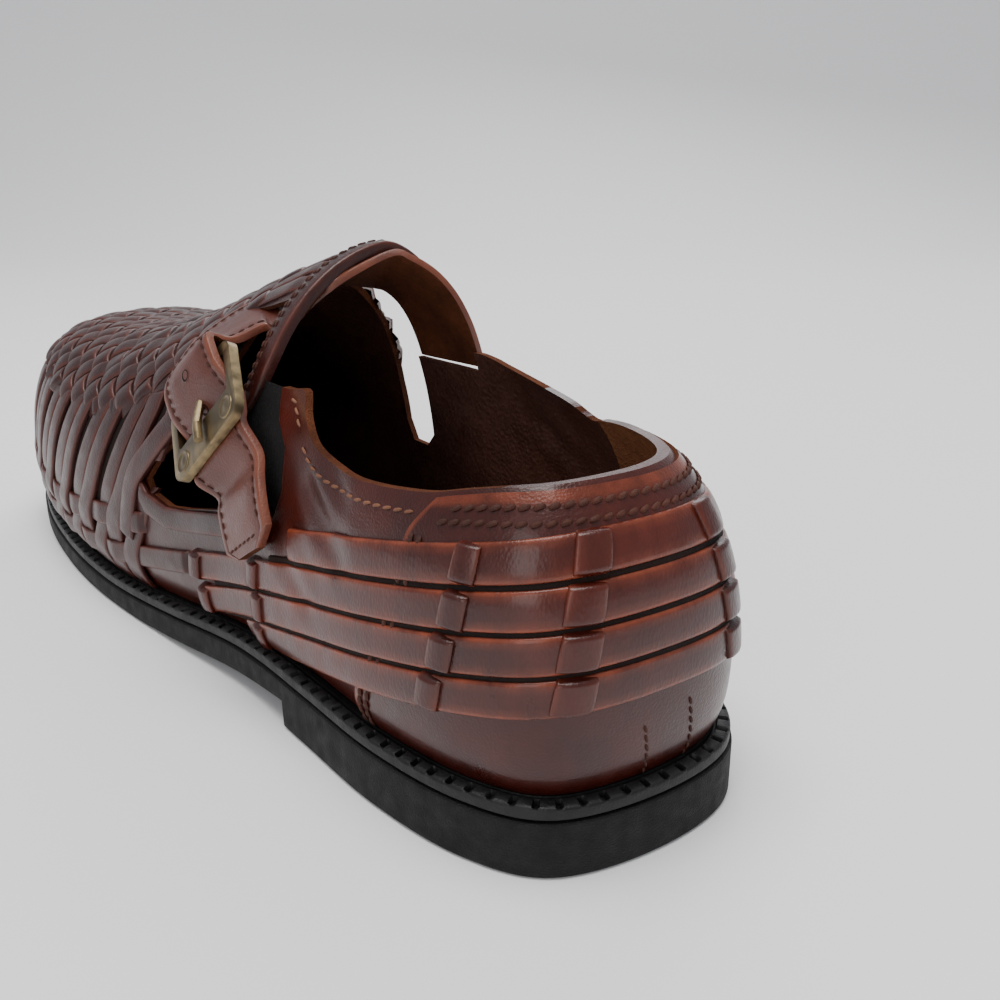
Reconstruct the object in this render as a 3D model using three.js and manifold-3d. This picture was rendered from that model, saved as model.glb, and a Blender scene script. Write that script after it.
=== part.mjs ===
// Huarache sandal, left shoe: woven closed-toe upper on a black rubber unit sole,
// open throat bridged by one strap that buckles on the outer side.
// Millimetres. +Z up, toe towards -Y, heel towards +Y, outer (lateral) side +X.
// z = 0 is the floor; the heel and the tread under the ball both rest on it.
import * as THREE from 'three';
import { mergeVertices } from 'three/addons/utils/BufferGeometryUtils.js';
import Module from 'manifold-3d';

const wasm = await Module();
wasm.setup();

// ---------------------------------------------------------------- driving sizes
const WALL = 2.2;            // leather wall of the upper
const GAP = 0.3;             // clearance between neighbouring pieces
const WELT_T = 3.4;          // ribbed welt layer
const INSOLE_T = 3.0;        // insole board and sock
const FEATHER_IN = 4.5;      // where the upper meets the welt, inside the sole edge
const RIM_HEEL = 15.4;       // floor to top of welt under the heel
const RIM_FORE = 9.5;        // floor to top of welt under the ball
const TOE_SPRING = 7.8;      // lift of the sole at the toe tip
const SPRING_Y = -60;        // toe spring starts here
const BREAST_Y = 66;         // front face of the heel block
const WAIST_RISE = 6.4;      // arch height in front of the heel block
const WAIST_END_Y = -12;     // the waist has come down to the tread here
const STRAP_T = 2.2;         // strap leather
const STRAP_W = 25;          // strap width over the instep
const TAIL_W = 21;           // strap width through the buckle

// outsole edge seen from above, heel centre first, round the outer side
const SOLE_EDGE = [
  { x: 0, y: 150.5 }, { x: 22.9, y: 145.5 }, { x: 33.6, y: 130 }, { x: 38.6, y: 105 },
  { x: 39.5, y: 75 }, { x: 40.4, y: 40 }, { x: 45.2, y: 5 }, { x: 49.8, y: -35 },
  { x: 50.0, y: -70 }, { x: 46.6, y: -105 }, { x: 37.5, y: -133 }, { x: 15.5, y: -148 },
  { x: -8, y: -150 }, { x: -28, y: -141 }, { x: -41, y: -118 }, { x: -46.5, y: -85 },
  { x: -46, y: -50 }, { x: -38.5, y: -10 }, { x: -32.5, y: 30 }, { x: -34, y: 70 },
  { x: -37, y: 105 }, { x: -34, y: 131 }, { x: -21.5, y: 146.5 },
];
// last sections: spine position, height of the ridge, roundness and sole lip
// n rounds the plan side of the section, m its top on the outer and mIn on the inner side,
// lip is how far the sole stands out
const LAST = [
  { y: 107, ridgeX: 0.5, ridgeZ: 84, n: 2.0, m: 4.3, mIn: 3.05, lip: 0.9 },
  { y: 90, ridgeX: 0.0, ridgeZ: 89, n: 1.9, m: 4.0, mIn: 3.2, lip: 0.8 },
  { y: 68, ridgeX: -2.0, ridgeZ: 99, n: 1.75, m: 3.3, mIn: 3.2, lip: 0.7 },
  { y: 46, ridgeX: -4.0, ridgeZ: 106, n: 1.7, m: 3.0, mIn: 3.0, lip: 0.5 },
  { y: 28, ridgeX: -3.6, ridgeZ: 101.5, n: 1.75, m: 2.85, mIn: 2.85, lip: 0.4 },
  { y: 6, ridgeX: -2.6, ridgeZ: 94, n: 1.85, m: 2.8, mIn: 2.8, lip: 0.1 },
  { y: -20, ridgeX: -1.2, ridgeZ: 84.5, n: 2.0, m: 2.85, mIn: 2.8, lip: -0.4 },
  { y: -45, ridgeX: -0.4, ridgeZ: 77, n: 2.35, m: 2.95, mIn: 2.9, lip: -0.8 },
  { y: -68, ridgeX: 0.0, ridgeZ: 73, n: 2.7, m: 3.0, mIn: 3.0, lip: -1.0 },
  { y: -86, ridgeX: 0.4, ridgeZ: 71.2, n: 3.0, m: 3.1, mIn: 3.1, lip: -0.9 },
  { y: -98, ridgeX: 0.6, ridgeZ: 70.8, n: 3.2, m: 3.1, mIn: 3.1, lip: -0.4 },
];
const HEEL_Y = LAST[0].y, TOE_Y = LAST[LAST.length - 1].y;

// top line of the quarters, height over the floor on the outer and inner side
const COLLAR = [
  { y: 46.5, outer: 78.5, inner: 74.5 }, { y: 52, outer: 77.5, inner: 78.6 }, { y: 57.5, outer: 77.5, inner: 79.2 },
  { y: 63.5, outer: 78.3, inner: 78.8 }, { y: 68.5, outer: 73.2, inner: 78 }, { y: 75, outer: 69, inner: 77.2 },
  { y: 85, outer: 66.8, inner: 76 }, { y: 94, outer: 66.4, inner: 74.4 }, { y: 101, outer: 66.8, inner: 71.4 },
  { y: 107, outer: 67.4, inner: 73 }, { y: 114, outer: 68.4, inner: 73.6 }, { y: 121, outer: 70.2, inner: 73.2 },
  { y: 130, outer: 72, inner: 72.8 }, { y: 139, outer: 73, inner: 73 }, { y: 160, outer: 74, inner: 74 },
];
// outer cut-out between vamp and quarter, side view, below the saddle
const OUTER_CUT = [
  { y: -3, z: 44 }, { y: 0, z: 41 }, { y: 10, z: 39.5 }, { y: 19, z: 41 }, { y: 45, z: 47 }, { y: 62, z: 50 },
  { y: 65, z: 57 }, { y: 63.5, z: 66 }, { y: 58, z: 71 }, { y: 55.2, z: 77 }, { y: 55.2, z: 97 },
  { y: 46.7, z: 97 }, { y: 46.7, z: 90.5 }, { y: 29, z: 91.5 }, { y: 26.5, z: 80 }, { y: 24, z: 72 },
  { y: 20, z: 65 }, { y: 13.5, z: 59.5 }, { y: 3, z: 51.5 },
];
// inner cut-out in front of the strap, side view
const INNER_CUT = [
  { y: 11, z: 52 }, { y: 14, z: 46.5 }, { y: 23, z: 47 }, { y: 27.5, z: 51 }, { y: 28, z: 74 },
  { y: 54.3, z: 74 }, { y: 54.3, z: 130 }, { y: 19, z: 130 }, { y: 16, z: 82 }, { y: 12, z: 64 },
];
const SADDLE_INNER_X = -9;  // the saddle ends here on the inner side

// ---------------------------------------------------------------- small maths
const lerp = (a, b, t) => a + (b - a) * t;
const clamp = (v, a, b) => Math.min(b, Math.max(a, v));
const smooth = (a, b, v) => { const t = clamp((v - a) / (b - a), 0, 1); return t * t * (3 - 2 * t); };
// monotone cubic through a table's column, rows sorted by key in either direction
function column(rows, key, name) {
  const r = [...rows].sort((a, b) => a[key] - b[key]);
  const x = r.map(q => q[key]), y = r.map(q => q[name]), n = x.length;
  const h = [], d = [], s = new Array(n).fill(0);
  for (let i = 0; i < n - 1; i++) { h.push(x[i + 1] - x[i]); d.push((y[i + 1] - y[i]) / h[i]); }
  for (let i = 1; i < n - 1; i++) {
    if (d[i - 1] * d[i] > 0) {
      const w1 = 2 * h[i] + h[i - 1], w2 = h[i] + 2 * h[i - 1];
      s[i] = (w1 + w2) / (w1 / d[i - 1] + w2 / d[i]);
    }
  }
  s[0] = d[0]; s[n - 1] = d[n - 2];
  return v => {
    if (v <= x[0]) return y[0];
    if (v >= x[n - 1]) return y[n - 1];
    let i = 0; while (v > x[i + 1]) i++;
    const t = (v - x[i]) / h[i], t2 = t * t, t3 = t2 * t;
    return (2 * t3 - 3 * t2 + 1) * y[i] + (t3 - 2 * t2 + t) * h[i] * s[i]
      + (-2 * t3 + 3 * t2) * y[i + 1] + (t3 - t2) * h[i] * s[i + 1];
  };
}
const lastCol = {};
for (const name of ['ridgeX', 'ridgeZ', 'n', 'm', 'mIn', 'lip']) lastCol[name] = column(LAST, 'y', name);
const collarOuter = column(COLLAR, 'y', 'outer'), collarInner = column(COLLAR, 'y', 'inner');

// ---------------------------------------------------------------- sole edge
function closedCurve(rows, n) {
  const p = rows.map(r => new THREE.Vector3(r.x, r.y, 0));
  return new THREE.CatmullRomCurve3(p, true, 'catmullrom', 0.5).getPoints(n).slice(0, n);
}
const EDGE = closedCurve(SOLE_EDGE, 920);
function signedArea(loop) {
  let a = 0; for (let i = 0; i < loop.length; i++) { const p = loop[i], q = loop[(i + 1) % loop.length]; a += p.x * q.y - q.x * p.y; } return a / 2;
}
// moved inwards by d, square to the edge; the direction is settled by the loop's own turn
const TURN = Math.sign(signedArea(EDGE));
function inset(d) {
  const n = EDGE.length, out = [];
  for (let i = 0; i < n; i++) {
    const a = EDGE[(i + n - 2) % n], b = EDGE[(i + 2) % n];
    const tx = b.x - a.x, ty = b.y - a.y, l = Math.hypot(tx, ty);
    const dd = typeof d === 'function' ? d(EDGE[i].y) : d;
    out.push(new THREE.Vector3(EDGE[i].x - TURN * ty / l * dd, EDGE[i].y + TURN * tx / l * dd, 0));
  }
  return out;
}
const BODY_EDGE = inset(y => lastCol.lip(clamp(y, TOE_Y, HEEL_Y)));   // widest line of the upper

const spring = y => TOE_SPRING * Math.pow(clamp((SPRING_Y - y) / 90, 0, 1), 1.8);
const rimZ = y => RIM_FORE + (RIM_HEEL - RIM_FORE) * smooth(-30, 70, y) + spring(y);
function soleBottom(y) {
  if (y >= BREAST_Y) return 0;
  const u = clamp((BREAST_Y - y) / (BREAST_Y - WAIST_END_Y), 0, 1);
  return y > WAIST_END_Y ? WAIST_RISE * Math.pow(1 - u, 1.25) : spring(y);
}

// ---------------------------------------------------------------- the last
// a ring of stations: fan round the heel point, outer side, fan round the toe point, inner side
function hitLoop(loop, ox, oy, dx, dy) {
  let best = null;
  for (let i = 0; i < loop.length; i++) {
    const p = loop[i], q = loop[(i + 1) % loop.length];
    const ex = q.x - p.x, ey = q.y - p.y, det = dx * ey - dy * ex;
    if (Math.abs(det) < 1e-12) continue;
    const t = ((p.x - ox) * ey - (p.y - oy) * ex) / det, u = ((p.x - ox) * dy - (p.y - oy) * dx) / det;
    if (t > 0 && u >= 0 && u < 1 && (best === null || t > best)) best = t;
  }
  return { x: ox + dx * best, y: oy + dy * best };
}
function stations(fan, sideYs) {
  const out = [], hx = lastCol.ridgeX(HEEL_Y), tx = lastCol.ridgeX(TOE_Y);
  for (let i = 0; i <= fan; i++) {                      // inner side over the heel to the outer side
    const a = Math.PI * (1 - i / fan);
    const b = hitLoop(BODY_EDGE, hx, HEEL_Y, Math.cos(a), Math.sin(a));
    out.push({ sx: hx, sy: HEEL_Y, bx: b.x, by: b.y });
  }
  for (const y of sideYs) { const b = hitLoop(BODY_EDGE, lastCol.ridgeX(y), y, 1, 0); out.push({ sx: lastCol.ridgeX(y), sy: y, bx: b.x, by: y }); }
  for (let i = 0; i <= fan; i++) {
    const a = -Math.PI * i / fan;
    const b = hitLoop(BODY_EDGE, tx, TOE_Y, Math.cos(a), Math.sin(a));
    out.push({ sx: tx, sy: TOE_Y, bx: b.x, by: b.y });
  }
  for (const y of [...sideYs].reverse()) { const b = hitLoop(BODY_EDGE, lastCol.ridgeX(y), y, -1, 0); out.push({ sx: lastCol.ridgeX(y), sy: y, bx: b.x, by: y }); }
  return out;
}
// roundness of the top, eased from the inner side to the rest
function topExp(st) {
  const l = Math.hypot(st.bx - st.sx, st.by - st.sy);
  return lerp(lastCol.mIn(st.sy), lastCol.m(st.sy), smooth(-1, 0, (st.bx - st.sx) / l));
}
// point of the last at a station, t = 0 on the feather line, 1 on the ridge
function lastPoint(st, t, lift = 0) {
  const n = lastCol.n(st.sy), m = topExp(st);
  const a = t * Math.PI / 2;
  const w = Math.pow(Math.max(Math.cos(a), 0), 2 / n), h = Math.pow(Math.sin(a), 2 / m);
  const z0 = rimZ(st.by) + lift, z1 = lastCol.ridgeZ(st.sy);
  const z = z0 + h * (z1 - z0);
  const dx = st.bx - st.sx, dy = st.by - st.sy, l = Math.hypot(dx, dy);
  const tuck = (FEATHER_IN - lastCol.lip(clamp(st.by, TOE_Y, HEEL_Y))) * Math.exp(-(z - z0) / 5) * (w > 0 ? 1 : 0);
  const r = Math.max(l * w - tuck * w, 0);
  return new THREE.Vector3(st.sx + dx / l * r, st.sy + dy / l * r, z);
}
// height t on a station's profile
function tAtHeight(st, z) {
  const m = topExp(st), z0 = rimZ(st.by), z1 = lastCol.ridgeZ(st.sy);
  const h = clamp((z - z0) / (z1 - z0), 0, 1);
  return Math.asin(Math.pow(h, m / 2)) / (Math.PI / 2);
}
function stationAt(side, y) {                         // side +1 outer, -1 inner
  const b = hitLoop(BODY_EDGE, lastCol.ridgeX(y), y, side, 0);
  return { sx: lastCol.ridgeX(y), sy: y, bx: b.x, by: y };
}
// point and outward normal of the last over plan point or side height
function surfaceAt(side, y, z) {
  const f = (yy, zz) => { const s = stationAt(side, yy); return lastPoint(s, tAtHeight(s, zz)); };
  const p = f(y, z), e = 0.6;
  const a = f(y + e, z).sub(f(y - e, z)), b = f(y, z + e).sub(f(y, z - e));
  const nrm = new THREE.Vector3().crossVectors(a, b).normalize();
  if (nrm.x * side < 0) nrm.negate();
  return { p, n: nrm };
}

// ---------------------------------------------------------------- solids
function geometryOf(pos, idx) {
  const g = new THREE.BufferGeometry();
  g.setAttribute('position', new THREE.Float32BufferAttribute(pos, 3));
  g.setIndex(idx);
  return g;
}
function weld(geo) {
  const g = geo.clone();
  for (const k of Object.keys(g.attributes)) if (k !== 'position') g.deleteAttribute(k);
  const m = mergeVertices(g, 1e-4);
  const p = m.getAttribute('position').array, idx = m.index.array, keep = [];
  for (let i = 0; i < idx.length; i += 3) {
    const [a, b, c] = [idx[i], idx[i + 1], idx[i + 2]];
    if (a !== b && b !== c && c !== a) keep.push(a, b, c);
  }
  return { vert: Float32Array.from(p), tri: Uint32Array.from(keep) };
}
const solid = geo => {
  const { vert, tri } = weld(geo);
  return new wasm.Manifold(new wasm.Mesh({ numProp: 3, vertProperties: vert, triVerts: tri }));
};
function fromSolid(man) {
  const m = man.getMesh(), pos = [];
  for (let i = 0; i < m.vertProperties.length; i += m.numProp) pos.push(m.vertProperties[i], m.vertProperties[i + 1], m.vertProperties[i + 2]);
  return geometryOf(pos, Array.from(m.triVerts));
}
function flipped(geo) {
  const i = geo.index.array.slice();
  for (let k = 0; k < i.length; k += 3) { const t = i[k + 1]; i[k + 1] = i[k + 2]; i[k + 2] = t; }
  const g = geo.clone(); g.setIndex(Array.from(i)); return g;
}
function volumeSign(geo) {
  const p = geo.getAttribute('position').array, i = geo.index.array; let v = 0;
  for (let k = 0; k < i.length; k += 3) {
    const a = i[k] * 3, b = i[k + 1] * 3, c = i[k + 2] * 3;
    v += p[a] * (p[b + 1] * p[c + 2] - p[b + 2] * p[c + 1]) - p[a + 1] * (p[b] * p[c + 2] - p[b + 2] * p[c]) + p[a + 2] * (p[b] * p[c + 1] - p[b + 1] * p[c]);
  }
  return v;
}
const outward = geo => (volumeSign(geo) < 0 ? flipped(geo) : geo);

// plate between two height functions over a plan loop
function plate(loop, bottom, top, breakY = []) {
  const n = loop.length, pos = [], idx = [];
  // plan is triangulated across in strips of equal y
  const ys = [];
  const lo = Math.min(...loop.map(p => p.y)), hi = Math.max(...loop.map(p => p.y));
  const steps = 44;
  for (let i = 1; i < steps; i++) ys.push(lo + (hi - lo) * (0.5 - 0.5 * Math.cos(Math.PI * i / steps)));
  for (const b of breakY) ys.push(b);
  ys.sort((a, b) => a - b);
  const rows = ys.map(y => {
    const c = lastCol.ridgeX(clamp(y, TOE_Y, HEEL_Y));
    return { y, l: hitLoop(loop, c, y, -1, 0).x, r: hitLoop(loop, c, y, 1, 0).x };
  });
  const mid = r => (r.l + r.r) / 2;
  const push = (x, y, z) => { pos.push(x, y, z); return pos.length / 3 - 1; };
  const tipLo = loop.reduce((a, b) => (b.y < a.y ? b : a)), tipHi = loop.reduce((a, b) => (b.y > a.y ? b : a));
  const layer = f => ({
    rows: rows.map(r => [push(r.l, r.y, f(r.y)), push(mid(r), r.y, f(r.y)), push(r.r, r.y, f(r.y))]),
    lo: push(tipLo.x, tipLo.y, f(tipLo.y)), hi: push(tipHi.x, tipHi.y, f(tipHi.y)),
  });
  const T = layer(top), B = layer(bottom);
  const quad = (a, b, c, d) => { idx.push(a, b, c, a, c, d); };
  const face = (L, up) => {
    const tri = (a, b, c) => (up ? idx.push(a, b, c) : idx.push(a, c, b));
    for (let i = 0; i + 1 < rows.length; i++) for (let k = 0; k < 2; k++) {
      const a = L.rows[i][k], b = L.rows[i][k + 1], c = L.rows[i + 1][k + 1], d = L.rows[i + 1][k];
      tri(a, b, c); tri(a, c, d);
    }
    tri(L.lo, L.rows[0][1], L.rows[0][0]); tri(L.lo, L.rows[0][2], L.rows[0][1]);
    const e = L.rows[rows.length - 1];
    tri(L.hi, e[0], e[1]); tri(L.hi, e[1], e[2]);
  };
  face(T, true); face(B, false);
  const rimTop = [T.lo, ...T.rows.map(r => r[2]), T.hi, ...T.rows.map(r => r[0]).reverse()];
  const rimBot = [B.lo, ...B.rows.map(r => r[2]), B.hi, ...B.rows.map(r => r[0]).reverse()];
  for (let i = 0; i < rimTop.length; i++) {
    const j = (i + 1) % rimTop.length;
    quad(rimBot[i], rimBot[j], rimTop[j], rimTop[i]);
  }
  return outward(geometryOf(pos, idx));
}

// dome shell over the last from the feather line to the ridge, wall inwards
const SIDE_YS = [98, 88, 78, 68, 59, 52, 46, 40, 33, 26, 18, 9, 0, -10, -20, -31, -42, -53, -64, -75, -85, -92];
const T_STEPS = [0, 0.06, 0.14, 0.24, 0.34, 0.44, 0.54, 0.63, 0.71, 0.78, 0.85, 0.92, 1];
function domeShell(fan) {
  const ring = stations(fan, SIDE_YS), N = ring.length, M = T_STEPS.length;
  const outer = ring.map(st => T_STEPS.map(t => lastPoint(st, t, GAP)));
  const nrm = ring.map((st, i) => T_STEPS.map((t, j) => {
    const a = outer[(i + 1) % N][j].clone().sub(outer[(i + N - 1) % N][j]);
    const b = outer[i][Math.min(j + 1, M - 1)].clone().sub(outer[i][Math.max(j - 1, 0)]);
    const n = new THREE.Vector3().crossVectors(a, b);
    if (j === M - 1 || n.length() < 1e-6) return new THREE.Vector3(0, 0, 1);
    n.normalize();
    const rx = st.bx - st.sx, ry = st.by - st.sy;
    if (n.x * rx + n.y * ry + n.z * 20 < 0) n.negate();
    return n;
  }));
  const inner = outer.map((row, i) => row.map((p, j) => {
    const n = nrm[i][j].clone();
    if (j === 0) { n.z = 0; n.normalize(); }
    return p.clone().addScaledVector(n, -WALL);
  }));
  // ridge rows share one height on both sides
  const pos = [], idx = [];
  const put = grid => grid.map(row => row.map(p => { pos.push(p.x, p.y, p.z); return pos.length / 3 - 1; }));
  const O = put(outer), I = put(inner);
  for (let i = 0; i < N; i++) {
    const k = (i + 1) % N;
    for (let j = 0; j + 1 < M; j++) {
      idx.push(O[i][j], O[i][j + 1], O[k][j + 1], O[i][j], O[k][j + 1], O[k][j]);
      idx.push(I[i][j], I[k][j + 1], I[i][j + 1], I[i][j], I[k][j], I[k][j + 1]);
    }
    idx.push(O[i][0], O[k][0], I[k][0], O[i][0], I[k][0], I[i][0]);
  }
  return outward(geometryOf(pos, idx));
}
// prism along X of a side-view outline
function sidePrism(rows, x0, x1) {
  const s = new THREE.Shape(rows.map(r => new THREE.Vector2(r.y, r.z)));
  const g = new THREE.ExtrudeGeometry(s, { depth: x1 - x0, bevelEnabled: false });
  g.applyMatrix4(new THREE.Matrix4().set(0, 0, 1, x0, 1, 0, 0, 0, 0, 1, 0, 0, 0, 0, 0, 1));
  return g;
}
// everything above the top line, behind the throat edge
function collarCutter() {
  const ys = [46.5]; for (let y = 50; y <= 160; y += 4.5) ys.push(y);
  const pos = [], idx = [];
  const sec = ys.map(y => [[-90, 170], [-90, collarInner(y)], [-16, collarInner(y)], [16, collarOuter(y)], [90, collarOuter(y)], [90, 170]]
    .map(([x, z]) => { pos.push(x, y, z); return pos.length / 3 - 1; }));
  for (let i = 0; i + 1 < sec.length; i++) for (let k = 0; k < 6; k++) {
    const a = sec[i][k], b = sec[i][(k + 1) % 6], c = sec[i + 1][(k + 1) % 6], d = sec[i + 1][k];
    idx.push(a, b, c, a, c, d);
  }
  const cap = (s, f) => {
    const t = [[0, 1, 2], [0, 2, 3], [0, 3, 5], [3, 4, 5]];
    for (const [a, b, c] of t) f ? idx.push(s[a], s[c], s[b]) : idx.push(s[a], s[b], s[c]);
  };
  cap(sec[0], true); cap(sec[sec.length - 1], false);
  return outward(geometryOf(pos, idx));
}

// ribbon of rectangular section through frames {p, u (across), n (out)}
function ribbon(frames, w, t) {
  const pos = [], idx = [];
  const sec = frames.map((f, i) => {
    const half = (f.w ?? w) / 2;
    return [[-half, 0], [half, 0], [half, t], [-half, t]].map(([a, b]) => {
      const q = f.p.clone().addScaledVector(f.u, a).addScaledVector(f.n, b);
      pos.push(q.x, q.y, q.z); return pos.length / 3 - 1;
    });
  });
  for (let i = 0; i + 1 < sec.length; i++) for (let k = 0; k < 4; k++) {
    const a = sec[i][k], b = sec[i][(k + 1) % 4], c = sec[i + 1][(k + 1) % 4], d = sec[i + 1][k];
    idx.push(a, b, c, a, c, d);
  }
  const s = sec[0], e = sec[sec.length - 1];
  idx.push(s[0], s[2], s[1], s[0], s[3], s[2], e[0], e[1], e[2], e[0], e[2], e[3]);
  return outward(geometryOf(pos, idx));
}
// closed patch laid on the last: a grid of {p, n}, from offset t0 to t1
function patch(grid, t0, t1) {
  const pos = [], idx = [], R = grid.length, C = grid[0].length;
  const layer = t => grid.map(row => row.map(f => {
    pos.push(f.p.x + f.n.x * t, f.p.y + f.n.y * t, f.p.z + f.n.z * t); return pos.length / 3 - 1;
  }));
  const A = layer(t0), B = layer(t1);
  for (let i = 0; i + 1 < R; i++) for (let j = 0; j + 1 < C; j++) {
    idx.push(B[i][j], B[i + 1][j], B[i + 1][j + 1], B[i][j], B[i + 1][j + 1], B[i][j + 1]);
    idx.push(A[i][j], A[i + 1][j + 1], A[i + 1][j], A[i][j], A[i][j + 1], A[i + 1][j + 1]);
  }
  const rimOf = L => [...L[0].slice(0, -1), ...L.map(r => r[C - 1]).slice(0, -1), ...L[R - 1].slice(1).reverse(), ...L.map(r => r[0]).slice(1).reverse()];
  const a = rimOf(A), b = rimOf(B);
  for (let i = 0; i < a.length; i++) { const j = (i + 1) % a.length; idx.push(a[i], b[j], a[j], a[i], b[i], b[j]); }
  return outward(geometryOf(pos, idx));
}

// ---------------------------------------------------------------- upper
let upperSolid = solid(domeShell(20));
upperSolid = upperSolid.subtract(solid(collarCutter()));
upperSolid = upperSolid.subtract(solid(outward(sidePrismIndexed(OUTER_CUT, 4, 100))));
upperSolid = upperSolid.subtract(solid(outward(sidePrismIndexed(INNER_CUT, -100, SADDLE_INNER_X))));
function sidePrismIndexed(rows, x0, x1) {
  const { vert, tri } = weld(sidePrism(rows, x0, x1));
  return geometryOf(Array.from(vert), Array.from(tri));
}

// ---------------------------------------------------------------- sole
const outsoleGeo = plate(EDGE, soleBottom, y => rimZ(y) - WELT_T - GAP, [BREAST_Y, BREAST_Y - 0.05, WAIST_END_Y, SPRING_Y]);
const weltGeo = plate(inset(0.5), y => rimZ(y) - WELT_T, rimZ);
const insoleGeo = plate(inset(FEATHER_IN + WALL + 0.9), y => rimZ(y) + GAP, y => rimZ(y) + GAP + INSOLE_T);

// ---------------------------------------------------------------- counter band round the top of the heel
const bandFrames = [];
{
  const hx = lastCol.ridgeX(HEEL_Y);
  const at = (st, z) => {
    const f = (s, zz) => lastPoint(s, tAtHeight(s, zz));
    const p = f(st, z), b = f(st, z + 0.6).sub(f(st, z - 0.6));
    const n = new THREE.Vector3(st.tx, st.ty, 0).cross(b).normalize();
    const rx = st.bx - st.sx, ry = st.by - st.sy;
    if (n.x * rx + n.y * ry < 0) n.negate();
    return { p, n };
  };
  const list = [];
  for (const y of [100, 103.5]) list.push(stationAt(-1, y));
  for (let i = 0; i <= 24; i++) {
    const a = Math.PI * (1 - i / 24), b = hitLoop(BODY_EDGE, hx, HEEL_Y, Math.cos(a), Math.sin(a));
    list.push({ sx: hx, sy: HEEL_Y, bx: b.x, by: b.y });
  }
  list.forEach((s, i) => { const p = list[Math.max(i - 1, 0)], q = list[Math.min(i + 1, list.length - 1)]; s.tx = q.bx - p.bx; s.ty = q.by - p.by; });
  for (const s of list) {
    const f = Math.sin(Math.atan2(s.by - HEEL_Y, s.bx - hx));
    const zt = (s.bx > hx ? collarOuter : collarInner)(clamp(HEEL_Y + (s.by - HEEL_Y) * 0.74, 0, 160)) - 1.2;
    const zb = zt - lerp(8, 10.5, clamp(f, 0, 1));
    bandFrames.push([0, 1, 2, 3, 4].map(k => at(s, lerp(zb, zt, k / 4))));
  }
}
const counterBandGeo = patch(bandFrames, GAP + 0.15, 1.8);

// ---------------------------------------------------------------- buckle plane
const FRAME_A = 31, FRAME_B = 21.5, FRAME_T = 2.2;      // across the strap, along it, thickness
const BAR = 2.9, PLATE_BAR = 8.2;                       // round bars and the broad lower bar
const PRONG_R = 1.05;
const buckleC = new THREE.Vector3(41.3, 39.2, 70.2);
const bA = new THREE.Vector3(-0.25, 0.667, 0.70).normalize();          // along the broad bar, up and back
const bB = new THREE.Vector3(-0.267, -0.743, 0.613);                   // towards the hinge bar
bB.addScaledVector(bA, -bB.dot(bA)).normalize();
const bN = new THREE.Vector3().crossVectors(bA, bB).normalize();
const buckleMatrix = new THREE.Matrix4().makeBasis(bA, bB, bN).setPosition(buckleC);
const at3 = (a, b, n) => new THREE.Vector3(a, b, n).applyMatrix4(buckleMatrix);
// ---------------------------------------------------------------- strap
// path of its inner face over the instep: side, station, height, gap over the last
const STRAP = [
  { side: -1, y: 41.3, z: 75.4, off: -2.0 }, { side: -1, y: 41.3, z: 80, off: -2.0 },
  { side: -1, y: 41.2, z: 86, off: -2.1 }, { side: -1, y: 40.6, z: 92, off: -2.4 },
  { side: -1, y: 39.6, z: 97, off: -3.2 }, { side: -1, y: 38.2, z: 100.6, off: -4.4 },
  { side: -1, y: 36.6, z: 102.4, off: -5.2 }, { side: 1, y: 34.8, z: 101.2, off: -5.3 },
  { side: 1, y: 33, z: 98.6, off: -5.3 }, { side: 1, y: 31, z: 96, off: -5.2 },
  { side: 1, y: 29, z: 93.2, off: -4.8 }, { side: 1, y: 27.2, z: 90.2, off: -3.4 },
  { side: 1, y: 25.6, z: 87.2, off: -0.4 },
];
// through the buckle, in the buckle's own plane: along its bar, towards the hinge bar, height
const STRAP_BUCKLE = [
  { a: 2.4, b: 20.5, h: -4.4 }, { a: 0.6, b: 17.0, h: -0.6 }, { a: 0, b: 14.6, h: 1.6 }, { a: 0, b: 12.4, h: 2.2 },
  { a: 0, b: 10.2, h: 1.9 }, { a: 0, b: 8.2, h: 1.5 }, { a: 0, b: 6.2, h: 0.9 }, { a: 0, b: 3.8, h: -0.6 },
  { a: 0, b: 1.2, h: -2.4 }, { a: 0, b: -1.2, h: -3.75 }, { a: 0, b: -3.5, h: -4.0 }, { a: 0, b: -7.5, h: -3.9 },
  { a: 0, b: -11, h: -3.7 },
];
const STRAP_TAIL = [
  { side: 1, y: 52.6, z: 57.6, off: 1.8 }, { side: 1, y: 56, z: 53.4, off: 2.4 },
  { side: 1, y: 59, z: 49.4, off: 2.8 }, { side: 1, y: 61.6, z: 45.6, off: 2.9 }, { side: 1, y: 63, z: 43, off: 2.9 },
];
const onLast = r => {
  const s = surfaceAt(r.side, r.y, r.z);
  return { p: s.p.clone().addScaledVector(s.n, r.off), n: s.n };
};
const strapPts = [...STRAP.map(onLast), ...STRAP_BUCKLE.map(r => ({ p: at3(r.a, r.b, r.h), n: bN.clone() })), ...STRAP_TAIL.map(onLast)];
const strapFrames = strapPts.map((f, i) => {
  const a = strapPts[Math.max(i - 1, 0)].p, b = strapPts[Math.min(i + 1, strapPts.length - 1)].p;
  const t = b.clone().sub(a).normalize();
  const u = new THREE.Vector3().crossVectors(f.n, t).normalize();
  const n = new THREE.Vector3().crossVectors(t, u).normalize();
  const last = strapPts.length - 1 - i;
  return { p: f.p, u, n, w: last === 0 ? 9 : last === 1 ? 18 : lerp(STRAP_W, TAIL_W, smooth(9, 14, i)) };
});
let strapSolid = solid(ribbon(strapFrames, STRAP_W, STRAP_T));
// the strap's slot through the saddle, with clearance all round
const strapRoom = strapFrames.map(f => ({ p: f.p.clone().addScaledVector(f.n, -GAP), u: f.u, n: f.n, w: f.w + 2 * GAP }));
upperSolid = upperSolid.subtract(solid(ribbon(strapRoom, STRAP_W, STRAP_T + 2 * GAP)));

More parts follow.
